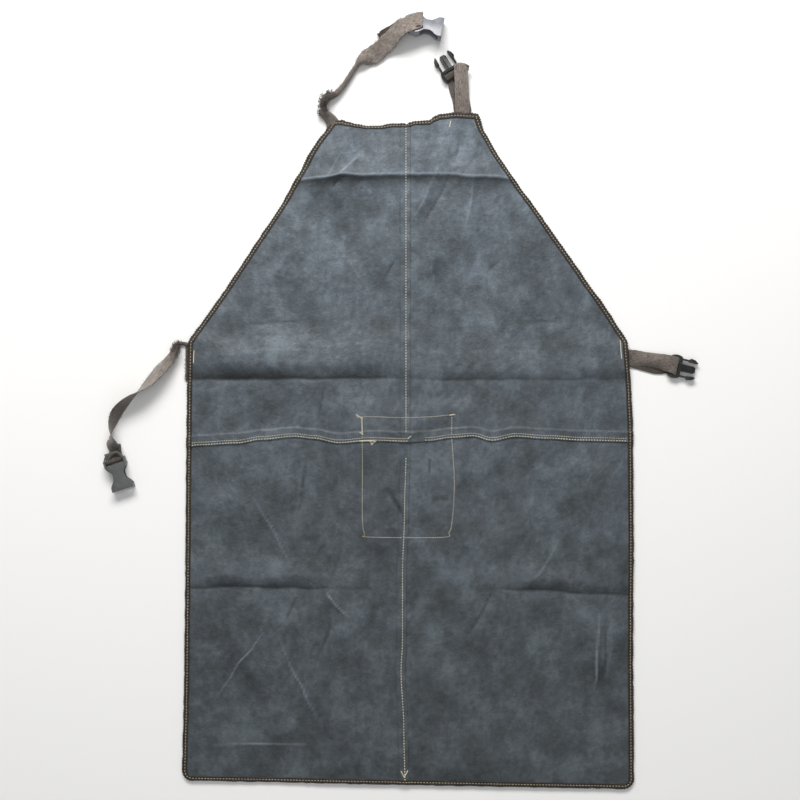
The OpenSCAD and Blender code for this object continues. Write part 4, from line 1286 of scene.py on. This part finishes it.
@dataclass
class Band:
    """A length of webbing: places, the way across, the width, the cupping and the painted shade,
    with a little dirt.
    """

    middle: Array
    across: Array
    width: Array
    cup: Array
    soil_and_shade: Array

    def run(self) -> Array:
        """Return the length along the band at each of its points."""
        steps = np.linalg.norm(np.diff(self.middle, axis=0), axis=1)
        return np.concatenate([[0], np.cumsum(steps)])

    def changed(self, how: object) -> "Band":
        """Return a band each of whose columns is passed through a function."""
        return Band(*(how(getattr(self, k)) for k in
                      ("middle", "across", "width", "cup", "soil_and_shade")))

    def joined(self, other: "Band") -> "Band":
        """Return this band followed by another."""
        return Band(*(np.concatenate([getattr(self, k), getattr(other, k)])
                      for k in ("middle", "across", "width", "cup", "soil_and_shade")))

    def meet(self, goal: "Band", over: float) -> None:
        """Bend the last stretch of this band so that it ends where another starts."""
        s = self.run()
        t = ease(1 - (s[-1] - s) / over)[:, None]
        self.middle = self.middle + (goal.middle[0] - self.middle[-1]) * t
        self.across = unit(self.across * (1 - t) + goal.across[0] * t)

    def even(self, step: float = 0.62, blur: int = 7) -> "Band":
        """Return the band with evenly spaced points and softened corners."""
        s = self.run()
        at = np.linspace(0, s[-1], max(8, int(s[-1] / step)))

        def redo(column: Array) -> Array:
            """Space one column evenly and soften it."""
            flat = column.reshape(len(s), -1)
            new = np.stack([np.interp(at, s, c) for c in flat.T], -1)
            pad = np.pad(new, ((blur // 2, blur // 2), (0, 0)), mode="edge")
            new = np.stack([np.convolve(c, np.ones(blur) / blur, "valid") for c in pad.T], -1)
            return new.reshape((len(at),) + column.shape[1:])

        return self.changed(redo)


def cupping(width: Array, full: float) -> Array:
    """Return the half angle to which webbing bends across when it shows narrower than it is."""
    return np.sqrt(np.clip(6 * (1 - np.clip(width / full, 0.2, 1.0)), 0, 4.4))


def laid_band(points: list[tuple[float, ...]], full: float) -> Band:
    """Lay webbing along a route on the table.

    Args:
        points: X, Y, lift, roll in degrees, seen width and painted shade (with a little dirt) of
            the route's points.
        full: The webbing's real width in mm.

    Returns:
        The band, with its lift as its height.
    """
    p = curve_points(points, 0.8)
    way = unit(np.gradient(p[:, :2], axis=0))
    roll = np.radians(p[:, 3])
    across = np.stack([-way[:, 1] * np.cos(roll), way[:, 0] * np.cos(roll), np.sin(roll)], -1)
    return Band(p[:, :3].copy(), across, p[:, 4].copy(), cupping(p[:, 4], full), p[:, 5].copy())


def station(x: float, y: float, z: float, heading: float, roll: float, width: float,
            soil_and_shade: float = 0.0) -> tuple[float, ...]:
    """Return one station of a free band: place, way across, width and painted shade."""
    h, r = math.radians(heading), math.radians(roll)
    return (x, y, z, -math.sin(h) * math.cos(r), math.cos(h) * math.cos(r), math.sin(r),
            width, soil_and_shade)


def free_band(stations: list[tuple[float, ...]], full: float) -> Band:
    """Run webbing through stations in space."""
    p = curve_points(stations, 0.6)
    return Band(p[:, :3].copy(), unit(p[:, 3:6]), p[:, 6].copy(), cupping(p[:, 6], full),
                p[:, 7].copy())


@dataclass(frozen=True)
class Bar:
    """The bar of a buckle that webbing goes round: its middle in mm, yaw and roll."""

    middle: tuple[float, float, float]
    yaw: float
    roll: float = 0.0

    def axes(self) -> Array:
        """Return the buckle's own three directions, one row each."""
        turn = Matrix.Rotation(math.radians(self.yaw), 3, "Z") @ Matrix.Rotation(
            math.radians(self.roll), 3, "X")
        return np.array(turn).T

    def at(self, u: float, v: float, w: float, heading: float = 0.0, width: float = 25.0,
           soil_and_shade: float = 0.0) -> tuple[float, ...]:
        """Return a station given along the buckle, along its bar and above it."""
        h = math.radians(heading)
        local = np.array([[u, v, w], [-math.sin(h), math.cos(h), 0]]) @ self.axes()
        return (*(np.array(self.middle) + local[0]), *local[1], width, soil_and_shade)


@dataclass
class Webbing:
    """A strap of woven webbing as a thick band with ribs across it."""

    name: str
    finishes: Finishes
    full: float = 25.0
    thick: float = 1.35
    columns: int = 27

    def sections(self, band: Band) -> tuple[Array, Array]:
        """Return the middle surface of the band and its normals, as grids of points."""
        v = np.linspace(-1, 1, self.columns)
        way = unit(np.gradient(band.middle, axis=0))
        across = unit(band.across - way * (band.across * way).sum(1, keepdims=True))
        up = np.cross(way, across)
        cup = np.maximum(band.cup, 1e-3)[:, None]
        radius = band.width[:, None] / 2 / np.maximum(np.sin(np.minimum(cup, 1.5)), 1e-3)
        a = radius * np.sin(cup * v[None, :])
        b = radius * (1 - np.cos(cup * v[None, :]))
        b = b - b.mean(axis=1, keepdims=True)
        grid = (band.middle[:, None, :] + across[:, None, :] * a[..., None]
                - up[:, None, :] * b[..., None])
        normal = unit(np.cross(np.gradient(grid, axis=0), np.gradient(grid, axis=1)))
        return grid, normal

    def settle(self, band: Band) -> None:
        """Put a laid band's lowest side at its lift."""
        lift = band.middle[:, 2].copy()
        band.middle[:, 2] = 0
        grid, normal = self.sections(band)
        low = (grid[..., 2] - np.abs(normal[..., 2]) * self.thick / 2).min(1)
        band.middle[:, 2] = lift + 0.06 - low

    def edges(self, band: Band, a: float, b: float) -> list[Array]:
        """Return the band's two edges between two lengths along it."""
        grid, _ = self.sections(band)
        s = band.run()
        keep = (s >= a) & (s <= b)
        return [grid[keep, 0], grid[keep, -1]]

    def mesh(self, bands: list[Band], ragged: tuple[list, list] = ([0, 1], [0, 0]),
             offset: float = 0.0) -> bpy.types.Object:
        """Build the strap from one or more bands.

        Args:
            bands: The lengths of webbing, each a closed shell of its own.
            ragged: Lengths along the first band, and how ragged its edges are there.
            offset: Length in mm at which the cloth's pattern starts.

        Returns:
            The strap's mesh object.
        """
        points, faces, coords, soil_and_shade, first = [], [], [], [], 0
        v = np.linspace(-1, 1, self.columns)
        for k, band in enumerate(bands):
            n = len(band.middle)
            grid, normal = self.sections(band)
            s = band.run() + offset
            rib = np.cos(2 * np.pi * (s[:, None] / 1.8 + v[None, :] * 4.2))
            height = 0.1 * rib + 0.2 * lattice_noise(s[:, None] + 90 * k, v[None, :] * 14, 9, 51)
            rough = 0.22 + np.interp(s, *ragged) * (k == 0)
            side = unit(np.gradient(grid, axis=1))
            for edge, sign, w, seed in ((slice(0, 2), -1, (1, 0.5), 53),
                                        (slice(-2, None), 1, (0.5, 1), 59)):
                jag = rough * (0.8 * lattice_noise(s, s * 0, 2.2, seed + k)
                               + 0.9 * lattice_noise(s, s * 0, 6.0, seed + k + 2))
                grid[:, edge] += (sign * side[:, edge]
                                  * (jag[:, None] * np.array(w)[None, :])[..., None])
            half = (self.thick / 2 * np.clip((1 - np.abs(v)) * 9 + 0.45, 0, 1))[None, :]
            inner = np.abs(v) < 0.98
            over = grid + normal * (half + height * inner)[..., None]
            under = grid - normal * (half - 0.6 * height * inner)[..., None]
            for face in (over, under):
                face[..., 2] = np.maximum(face[..., 2], 0.02)
            ring = np.concatenate([over, under[:, ::-1]], axis=1)
            count = ring.shape[1]
            points.append(ring.reshape(-1, 3))
            caps = [list(range(first, first + count)),
                    list(range(first + (n - 1) * count, first + n * count))[::-1]]
            faces += grid_faces(n, count, first, around=True).tolist() + caps
            vv = np.concatenate([v, v[::-1]]) * self.full / 2 * MM
            coords.append(np.stack([np.repeat(s[:, None] * MM, count, 1) + 0.1 * k,
                                    np.repeat(vv[None, :], n, 0)], -1).reshape(-1, 2))
            # Per-point painted shade, with a little dirt, for the webbing's colour.
            soil_and_shade.append(np.repeat(band.soil_and_shade, count))
            first += n * count
        obj = mesh_object(self.name, np.vstack(points), faces, self.finishes.webbing,
                          np.vstack(coords), 70)
        obj.data.attributes.new("soil_and_shade", "FLOAT", "POINT").data.foreach_set(
            "value", np.clip(np.concatenate(soil_and_shade), 0, 1).astype(np.float32))
        repair_normals(obj)
        LOG.info("%s: %d faces, %.0f mm", self.name, len(obj.data.polygons),
                 sum(b.run()[-1] for b in bands))
        return obj


def back_under(main: Band, length: float, side: tuple[float, float], gap: tuple[float, float],
               width: float, soil_and_shade: float) -> Band:
    """Return a band that runs back under the last stretch of another.

    Args:
        main: The band that lies above.
        length: Length of the run back in mm.
        side: How far it shows beside the upper band, at its start and at its end.
        gap: How far it lies below the upper band, at its start and further on.
        width: Its greatest width.
        soil_and_shade: How much painted shade darkens it where it lies under the upper band.

    Returns:
        The run back, from the upper band's end.
    """
    s = main.run()[-1] - main.run()
    pick = np.flatnonzero(s <= length)[::-1]
    way = unit(np.gradient(main.middle, axis=0))
    up = unit(np.cross(way, main.across))
    up = np.where(up[:, 2:3] < 0, -up, up)
    left = np.cross(up, way)
    t = (s[pick] / length)[:, None]
    drop = gap[1] + (gap[0] - gap[1]) * (1 - ease(s[pick] / 24))[:, None]
    middle = (main.middle[pick] + left[pick] * (side[0] + (side[1] - side[0]) * t)
              - up[pick] * drop)
    middle[:, 2] = np.maximum(middle[:, 2], 0.9)
    n = len(pick)
    wide = np.minimum(main.width[pick], width)
    return Band(middle, main.across[pick], wide, cupping(wide, width), np.full(n, soil_and_shade))


@dataclass
class Straps:
    """The four straps of webbing, each round the bar of its buckle."""

    lie: Lie
    finishes: Finishes
    full: float = 25.0

    def build(self) -> dict[str, bpy.types.Object]:
        """Build the straps and fray the long ones."""
        return {**self._neck_strap(), **self._waist_strap(), **self._neck_loop(),
                **self._waist_loop()}

    def _fold(self, obj: bpy.types.Object, nodes: tuple[str, ...],
              at: tuple[float, float], way: float) -> None:
        """Bake a strap's place into its mesh and hide the solids that it replaces."""
        d = np.array([math.cos(math.radians(way)), math.sin(math.radians(way))])
        a, b = np.array(at) - 4 * d, np.array(at) + 4 * d
        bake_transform(obj)
        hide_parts(*nodes)

    def _turn(self, obj: bpy.types.Object) -> None:
        """Bake a bight's place into its mesh."""
        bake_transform(obj)

    def _fray(self, name: str, body: str, paths: list[Array], length: float, thick: float,
              pitch: float, seed: int) -> bpy.types.Object:
        """Make loose fibres along paths and let them ride on a body."""
        maker = AlongPath(name, self.finishes.frayed, fibre_unit(), seed)
        obj = maker.repeat(name, [p for p in paths if len(p) > 2], Pitch=pitch * MM,
                           Length=length * MM, Width=thick / 0.3 * MM, Height=thick / 0.3 * MM,
                           Turn=3.1, Tilt=0.7, Spread=0.3 * MM)
        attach(obj, body)
        return obj

    def _neck_strap(self) -> dict[str, bpy.types.Object]:
        """Build the long neck strap: bunched and frayed at first, then wide and doubled."""
        bar = Bar((7.31, 597.625, 11.835), -10, -22)
        ex, ey = -109.69, 463.625
        # The last value of each row is painted shade: dark where the strap comes out from behind
        # the apron, in the bunched knot and across a fold.
        route = [(8, -34, 0.4, 0, 24, 0.5), (3, -14, 0.4, 0, 22, 0.5), (0, -4, 0.4, 0, 18, 0.6),
                 (-6, 4, 0, 10, 14, 0.55), (-11, 10, 0, 30, 11, 0.6), (-11.5, 16, 0, 60, 6.5, 0.8),
                 (-10, 22, 0, 60, 11, 0.75), (-6, 28, 0, 70, 13, 0.7), (2, 32, 0, 78, 10, 0.7),
                 (9, 37, 0, 70, 8.5, 0.3), (18.7, 49, 0, 74, 7.5, 0.35), (27, 62, 0, 80, 7, 0.3),
                 (36, 75.5, 0, 76, 7, 0.25), (42, 81, 0, 46, 13, 0.1), (49, 85.5, 0.6, 24, 21, 0),
                 (58, 91, 2.0, 14, 25, 0), (69, 99.5, 3.6, 4, 25, 0.3), (79, 108, 5, -4, 25, 0.1),
                 (91, 119, 7, -12, 25, 0), (101, 128, 9, -20, 25, 0)]
        main = laid_band([(ex + x, ey + y, z, r, w, d) for x, y, z, r, w, d in route], self.full)
        web = Webbing("neck_webbing", self.finishes)
        web.settle(main)
        # Painted shade where the webbing lies in the buckle's ring and slot.
        over = free_band([
            bar.at(-14, -10, 6.9, 34), bar.at(-4, -4.2, 7.7, 33), bar.at(4, 1.5, 8.6, 26),
            bar.at(9, 4.8, 9.0, 14), bar.at(11.4, 5.6, 8.7, 6), bar.at(12.6, 5.8, 7.9, 4),
            bar.at(11.6, 5.7, 7.2, 3, soil_and_shade=0.3), bar.at(8, 5, 7.0, 2, soil_and_shade=0.5),
            bar.at(4.8, 3, 6.2, soil_and_shade=0.5), bar.at(3.3, 1, 3.4, soil_and_shade=0.5),
            bar.at(2.8, 0, 0.2), bar.at(2.0, 0, -2.0), bar.at(0, 0, -2.8),
            bar.at(-3, 0, -3.0, soil_and_shade=0.5), bar.at(-8, -2, -3.2, 8, soil_and_shade=0.7)], self.full)
        main.meet(over, 34)
        # The run back underneath gets strong painted shade.
        under = back_under(main, 40, (4, 9), (9.5, 3.4), 25, 0.95)
        shared = over.changed(lambda column: column[1:9])
        cloth = main.joined(shared).even()
        cloth.middle[-9:, 2] -= np.linspace(0, 0.8, 9)
        obj = web.mesh([cloth], ragged=([0, 36, 46, 84, 100, 122, 400],
                                        [0, 0.4, 2.0, 1.5, 0.5, 0.6, 0.6]))
        self._fold(obj, ("neck_strap_tail", "neck_strap"), (ex, ey), 115)
        bight = Webbing("neck_webbing_bight", self.finishes)
        turned = over.joined(under).even()
        bight_obj = bight.mesh([turned], ([0, 400], [0.6, 0.6]),
                               cloth.run()[-1] - shared.run()[-1])
        self._turn(bight_obj)
        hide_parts("neck_strap_end")
        s0 = 50.0
        fray = self._fray("neck_webbing_fray", "neck_strap",
                          2 * web.edges(cloth, s0 - 4, s0 + 30)
                          + [cloth.middle[76:118] + (0, 0, z) for z in (2, 4, 6)],
                          4.2, 1.25, 0.9, 3)
        fuzz = self._fray("neck_webbing_fuzz", "neck_strap", web.edges(cloth, s0 + 20, 400),
                          2.0, 0.5, 1.0, 4)
        return {"neck_strap": obj, "neck_bight": bight_obj, "neck_fray": fray,
                "neck_fuzz": fuzz}

    def _waist_strap(self) -> dict[str, bpy.types.Object]:
        """Build the long waist strap: a thin link, a frayed knot, then two half turns."""
        bar = Bar((-422.743, -30, 6.3), -72)
        ex, ey = -321.743, 128
        # The last value of each row is painted shade: dark on the link and knot, and where the
        # strap is turned over and faces away from the key light.
        route = [(9, 9, 0.3, 0, 5, 0.5), (4, 9.8, 0.3, 0, 4.6, 0.6), (-2, 11.2, 0, 6, 4, 0.7),
                 (-7, 11.6, 0, 20, 4.6, 0.6), (-12, 10, 0, 50, 9, 0.5), (-15.5, 4, 0, 60, 11, 0.5),
                 (-18.5, -4, 0, 50, 12, 0.4), (-24, -12, 0, 40, 18, 0.1),
                 (-33, -23, 0, 44, 24, 0), (-42.7, -35, 0, 48, 25, 0), (-52, -45.5, 0, 56, 25, 0),
                 (-62, -54.5, 0, 72, 25, 0.05), (-72, -62.5, 0, 92, 25, 0.2),
                 (-82, -71, 0, 107, 25, 0.45), (-92.8, -82, 0, 117, 25, 0.5),
                 (-100, -94, 0, 116, 25, 0.5), (-103.6, -106, 0, 104, 25, 0.4),
                 (-105, -117, 0, 84, 25, 0.25), (-104.6, -127, 0.4, 62, 25, 0.35),
                 (-103.3, -135, 1.2, 50, 22, 0.5), (-101.5, -142, 2.0, 34, 17, 0.65)]
        main = laid_band([(ex + x, ey + y, z, r, w, d) for x, y, z, r, w, d in route], self.full)
        web = Webbing("waist_webbing", self.finishes)
        web.settle(main)
        # Painted shade where the webbing wraps the bar and lies in the buckle's slot.
        over = free_band([
            bar.at(-15, 4.5, -2.8, width=16, soil_and_shade=0.7), bar.at(-9, 2.6, -2.6, width=19, soil_and_shade=0.85),
            bar.at(-5, 1, -1.2, width=22, soil_and_shade=0.9), bar.at(-2.3, 0, 1.7, soil_and_shade=0.85),
            bar.at(0, 0, 2.7, soil_and_shade=0.8), bar.at(2.0, 0, 1.9, soil_and_shade=0.85),
            bar.at(2.7, 0, 0, soil_and_shade=0.9), bar.at(2.0, 0, -1.9, soil_and_shade=0.9),
            bar.at(0, 0, -2.8, soil_and_shade=0.6), bar.at(-3, 0, -3.8, soil_and_shade=0.6),
            bar.at(-8, 0, -4.6, soil_and_shade=0.7), bar.at(-14, 0, -5.0, soil_and_shade=0.7)], self.full - 0.4)
        main.meet(over, 14)
        cloth = main.joined(over).even()
        obj = web.mesh([cloth], ragged=([0, 12, 20, 38, 56, 400],
                                        [0, 0.1, 1.3, 1.1, 0.4, 0.4]))
        self._fold(obj, ("waist_strap", "waist_strap_end"), (ex, ey), 180)
        fray = self._fray("waist_webbing_fray", "waist_strap",
                          2 * web.edges(cloth, 18, 40)
                          + [cloth.middle[26:54] + (0, 0, z) for z in (2, 4, 6)],
                          4.2, 1.2, 0.9, 5)
        fuzz = self._fray("waist_webbing_fuzz", "waist_strap", web.edges(cloth, 34, 165),
                          1.8, 0.45, 1.1, 6)
        tail = laid_band([(-286, 110, 0.4, 0, 50, 0.5), (-300, 110, 0.4, 0, 50, 0.5),
                          (-321.4, 110, 0.3, 0, 50, 0.6)], 50.0)
        sewn = Webbing("waist_webbing_sewn_end", self.finishes, full=50.0, thick=1.3, columns=41)
        sewn.settle(tail)
        tail_obj = sewn.mesh([tail])
        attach(tail_obj, "apron")
        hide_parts("waist_strap_tail")
        side = np.linspace((-320.6, 134, 1.2), (-321.8, 86, 1.2), 40)
        edge = self._fray("waist_sewn_end_fray", "apron", [side], 2.6, 0.5, 0.8, 9)
        return {"waist_strap": obj, "waist_fray": fray, "waist_fuzz": fuzz,
                "waist_tail": tail_obj, "waist_tail_fray": edge}

    def _neck_loop(self) -> dict[str, bpy.types.Object]:
        """Build the short neck strap: a back layer round the bar and a slack front layer."""
        bar = Bar((64, 529.29, 3.5), 122)
        web = Webbing("neck_short_webbing", self.finishes)
        # Painted shade on the back layer, which lies under the front layer and round the bar in
        # shadow.
        back = free_band([
            station(79, 434, 0.95, 90, 0, 24.6, 0.4), station(79, 460, 0.95, 90, 0, 24.6, 0.5),
            station(79, 474, 1.0, 92, 0, 25, 0.6), station(76.5, 491, 1.0, 100, 0, 25, 0.6),
            station(72, 507, 1.0, 110, 0, 25, 0.6), bar.at(-9, 0, -2.4, soil_and_shade=0.6),
            bar.at(-4, 0, -2.75, soil_and_shade=0.7), bar.at(0, 0, -2.75, soil_and_shade=0.8),
            bar.at(2.0, 0, -1.9, soil_and_shade=0.8), bar.at(2.8, 0, 0, soil_and_shade=0.8),
            bar.at(2.0, 0, 1.9, soil_and_shade=0.8), bar.at(0, 0, 2.75, soil_and_shade=0.8),
            bar.at(-2.4, 0, 2.7, soil_and_shade=0.85), bar.at(-6, 0, 2.2, soil_and_shade=0.9)], self.full)
        obj = web.mesh([back.even()])
        self._fold(obj, ("neck_loop_tail", "neck_loop", "neck_loop_end"),
                   (79, 472.29), 90)
        # The last value is painted shade: darker near the apron and on the stretch folded back
        # under itself.
        front = free_band([
            station(79, 434, 2.45, 90, 0, 23, 0.3), station(79, 462, 2.45, 90, 0, 23, 0.3),
            station(79.2, 474, 3.1, 90, 2, 21, 0.2), station(79.2, 486, 5.6, 90, 10, 20.5, 0.1),
            station(79, 498, 8.4, 90, 18, 21, 0), station(78.6, 511, 11, 90, 22, 21.5, 0),
            station(77.8, 524, 13, 90, 24, 21.5, 0), station(77.4, 534, 13.8, 90, 24, 21.5, 0),
            station(77.3, 539, 13.4, 90, 24, 21.5, 0.1),
            station(77.2, 540.4, 12.2, 90, 24, 21, 0.3),
            station(77, 539.2, 11.1, 90, 24, 20.5, 0.5), station(76.6, 536, 10.8, 90, 24, 20, 0.5),
            station(76.2, 532, 10.6, 90, 24, 20, 0.5)], self.full)
        slack = Webbing("neck_short_webbing_front", self.finishes)
        front_obj = slack.mesh([front.even(blur=5)])
        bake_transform(front_obj)
        return {"neck_loop": obj, "neck_front": front_obj}

    def _waist_loop(self) -> dict[str, bpy.types.Object]:
        """Build the short waist strap: two layers that meet round the bar."""
        bar = Bar((385.243, 106.5, 3.5), -13)
        web = Webbing("waist_short_webbing", self.finishes)
        # The last value of each station is painted shade: the layer over the bar lightly shaded,
        # the layer round the bar and back underneath darker.
        cloth = free_band([
            station(281, 118, 2.45, 0, 0, 24.4, 0.5), station(306, 118, 2.45, 0, 0, 24.4, 0.5),
            station(320, 118, 2.8, 0, 1, 24.8, 0.6), station(331, 117.2, 3.6, -4, 3, 23.8, 0.45),
            station(343, 116.2, 4.8, -7, 7, 21, 0.35), station(356, 114.6, 5.8, -10, 8, 20.4, 0.35),
            station(368, 112.3, 6.4, -12, 5, 23, 0.4), bar.at(-7, 1.6, 3.6, soil_and_shade=0.45),
            bar.at(-3, 1.2, 3.5, soil_and_shade=0.45), bar.at(0.6, 0.8, 3.2, soil_and_shade=0.45),
            bar.at(3.0, 0.3, 1.8, soil_and_shade=0.4), bar.at(3.6, 0, 0, soil_and_shade=0.4),
            bar.at(2.8, 0, -1.9, soil_and_shade=0.6), bar.at(0.6, 0, -2.7, soil_and_shade=0.7),
            bar.at(-4, 0, -2.7, soil_and_shade=0.85), bar.at(-12, -0.6, -2.6, soil_and_shade=0.9),
            station(360, 108, 0.9, -10, 0, 25, 0.9), station(345, 111.5, 0.9, -7, 0, 25, 0.85),
            station(331, 115.5, 0.9, -3, 0, 25, 0.8), station(318, 118, 0.95, 0, 0, 24.6, 0.6),
            station(300, 118, 0.95, 0, 0, 24.6, 0.5), station(281, 118, 0.95, 0, 0, 24.6, 0.5)],
            self.full)
        obj = web.mesh([cloth.even(blur=5)])
        self._fold(obj, ("waist_loop_tail", "waist_loop", "waist_loop_end"),
                   (319.243, 118), 0)
        return {"waist_loop": obj}


# ---------------------------------------------------------------- buckles


@dataclass
class Buckles:
    """The two side-release buckles, with the moulded edges rounded."""

    finishes: Finishes
    edge_mm: float = 0.45

    def build(self) -> dict[str, bpy.types.Object]:
        """Round the edges of a copy of each moulded solid and return the copies."""
        made = {}
        for node, body in (("neck_socket", "neck_socket"), ("waist_socket", "waist_socket"),
                           ("neck_plug", "neck_plug"), ("waist_plug", "waist_plug"),
                           ("neck_plug_arm_left", "neck_arm_left"),
                           ("neck_plug_arm_right", "neck_arm_right"),
                           ("waist_plug_arm_left", "waist_arm_left"),
                           ("waist_plug_arm_right", "waist_arm_right")):
            finish = self.finishes.black
            # The neck socket's lighter colour is a painted highlight; the waist socket keeps the
            # plain plastic.
            if "socket" in node:
                finish = self.finishes.glossy if "neck" in node else self.finishes.plastic
            made[node] = self._moulded(node, body, finish)
        return made

    def _moulded(self, node: str, body: str, finish: bpy.types.Material) -> bpy.types.Object:
        """Return a copy of a solid with its sharp edges rounded."""
        name = node.replace("_plug_arm", "_buckle_arm") + "_moulded"
        work = bmesh.new()
        work.from_mesh(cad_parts[node].data)
        bmesh.ops.remove_doubles(work, verts=work.verts, dist=0.00001)
        bmesh.ops.dissolve_limit(work, angle_limit=math.radians(1.0), verts=work.verts,
                                 edges=work.edges)
        mesh = bpy.data.meshes.new(name)
        work.to_mesh(mesh)
        work.free()
        obj = bpy.data.objects.new(name, mesh)
        bpy.context.scene.collection.objects.link(obj)
        bevel = obj.modifiers.new("edges", "BEVEL")
        bevel.width, bevel.segments, bevel.limit_method = self.edge_mm * MM, 3, "ANGLE"
        bevel.angle_limit = math.radians(38)
        result = bpy.data.meshes.new_from_object(
            obj.evaluated_get(bpy.context.evaluated_depsgraph_get()))
        obj.modifiers.clear()
        obj.data = result
        result.name = name
        result.polygons.foreach_set("use_smooth", [True] * len(result.polygons))
        result.set_sharp_from_angle(angle=math.radians(40))
        result.materials.clear()
        result.materials.append(finish)
        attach(obj, body)
        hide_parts(node)
        LOG.info("%s: %d faces", name, len(result.polygons))
        return obj


# ---------------------------------------------------------------- studio


@dataclass
class Studio:
    """Floor, lights and camera."""

    finishes: Finishes
    camera_at: tuple[float, float, float] = (-0.0116, 0.0578, 1.992)
    lens: float = 62.0

    def build(self) -> None:
        """Build the pale floor, the soft lights and the camera straight above."""
        size = 6.0
        mesh = bpy.data.meshes.new("floor")
        mesh.from_pydata([(-size, -size, -0.0006), (size, -size, -0.0006), (size, size, -0.0006),
                          (-size, size, -0.0006)], [], [(0, 1, 2, 3)])
        mesh.materials.append(self.finishes.floor)
        floor = bpy.data.objects.new("floor", mesh)
        bpy.context.scene.collection.objects.link(floor)
        self._light("key", (-0.35, 2.3, 1.75), (0, -0.1, 0), (2.2, 0.9), 98)
        self._light("fill", (0.5, -1.4, 2.6), (0, 0, 0), (2.6, 2.6), 9)
        self._light("top", (-0.4, 0.2, 3.0), (0, -0.1, 0), (1.8, 1.8), 10)
        world = bpy.data.worlds.new("studio")
        bpy.context.scene.world = world
        world.use_nodes = True
        world.node_tree.nodes.clear()
        glow = add_node(world.node_tree, "ShaderNodeBackground",
                        {"Color": linear("#f3f5f8"), "Strength": 0.3})
        add_node(world.node_tree, "ShaderNodeOutputWorld", links={"Surface": glow.outputs[0]})
        data = bpy.data.cameras.new("camera")
        data.lens, data.sensor_width = self.lens, 36.0
        camera = bpy.data.objects.new("camera", data)
        camera.location = self.camera_at
        bpy.context.scene.collection.objects.link(camera)
        bpy.context.scene.camera = camera
        bpy.context.scene.view_settings.view_transform = "Standard"

    def _light(self, name: str, at: tuple, to: tuple, size: tuple, power: float) -> None:
        """Add a rectangular soft light."""
        data = bpy.data.lights.new(name, "AREA")
        data.shape, (data.size, data.size_y) = "RECTANGLE", size
        data.energy, data.color = power, (1.0, 0.985, 0.965)
        light = bpy.data.objects.new(name, data)
        light.location = at
        light.rotation_euler = (Vector(to) - Vector(at)).to_track_quat("-Z", "Y").to_euler()
        bpy.context.scene.collection.objects.link(light)


# ---------------------------------------------------------------- pieces by panel, and main


def declare_sheets(bindings: dict, rows: dict) -> None:
    """Gather the bindings of each leather panel, and all stitch rows for the left bib panel; the
    lists are not used.
    """
    with_bib = {"bib_panel_left": ["binding_top_left", "binding_slope_left"],
                "bib_panel_right": ["binding_top_right", "binding_slope_right"],
                "skirt_panel_left": ["binding_side_left", "binding_hem"],
                "skirt_panel_right": ["binding_side_right"]}
    for node, names in with_bib.items():
        extra = [bindings[n] for n in names]
        if node == "bib_panel_left":
            extra += list(rows.values())


def main() -> None:
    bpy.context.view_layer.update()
    finishes = Finishes()
    Studio(finishes).build()
    lie = Lie()
    panels = LeatherPanels(lie, finishes).build()
    binding = EdgeBinding(lie, finishes)
    bindings = binding.build()
    rows = Stitching(lie, binding, finishes).build()
    pocket = Pocket(lie.cut, finishes).build()
    straps = Straps(lie, finishes).build()
    Buckles(finishes).build()
    declare_sheets(bindings, rows)
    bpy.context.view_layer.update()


if __name__ == "__main__":
    main()
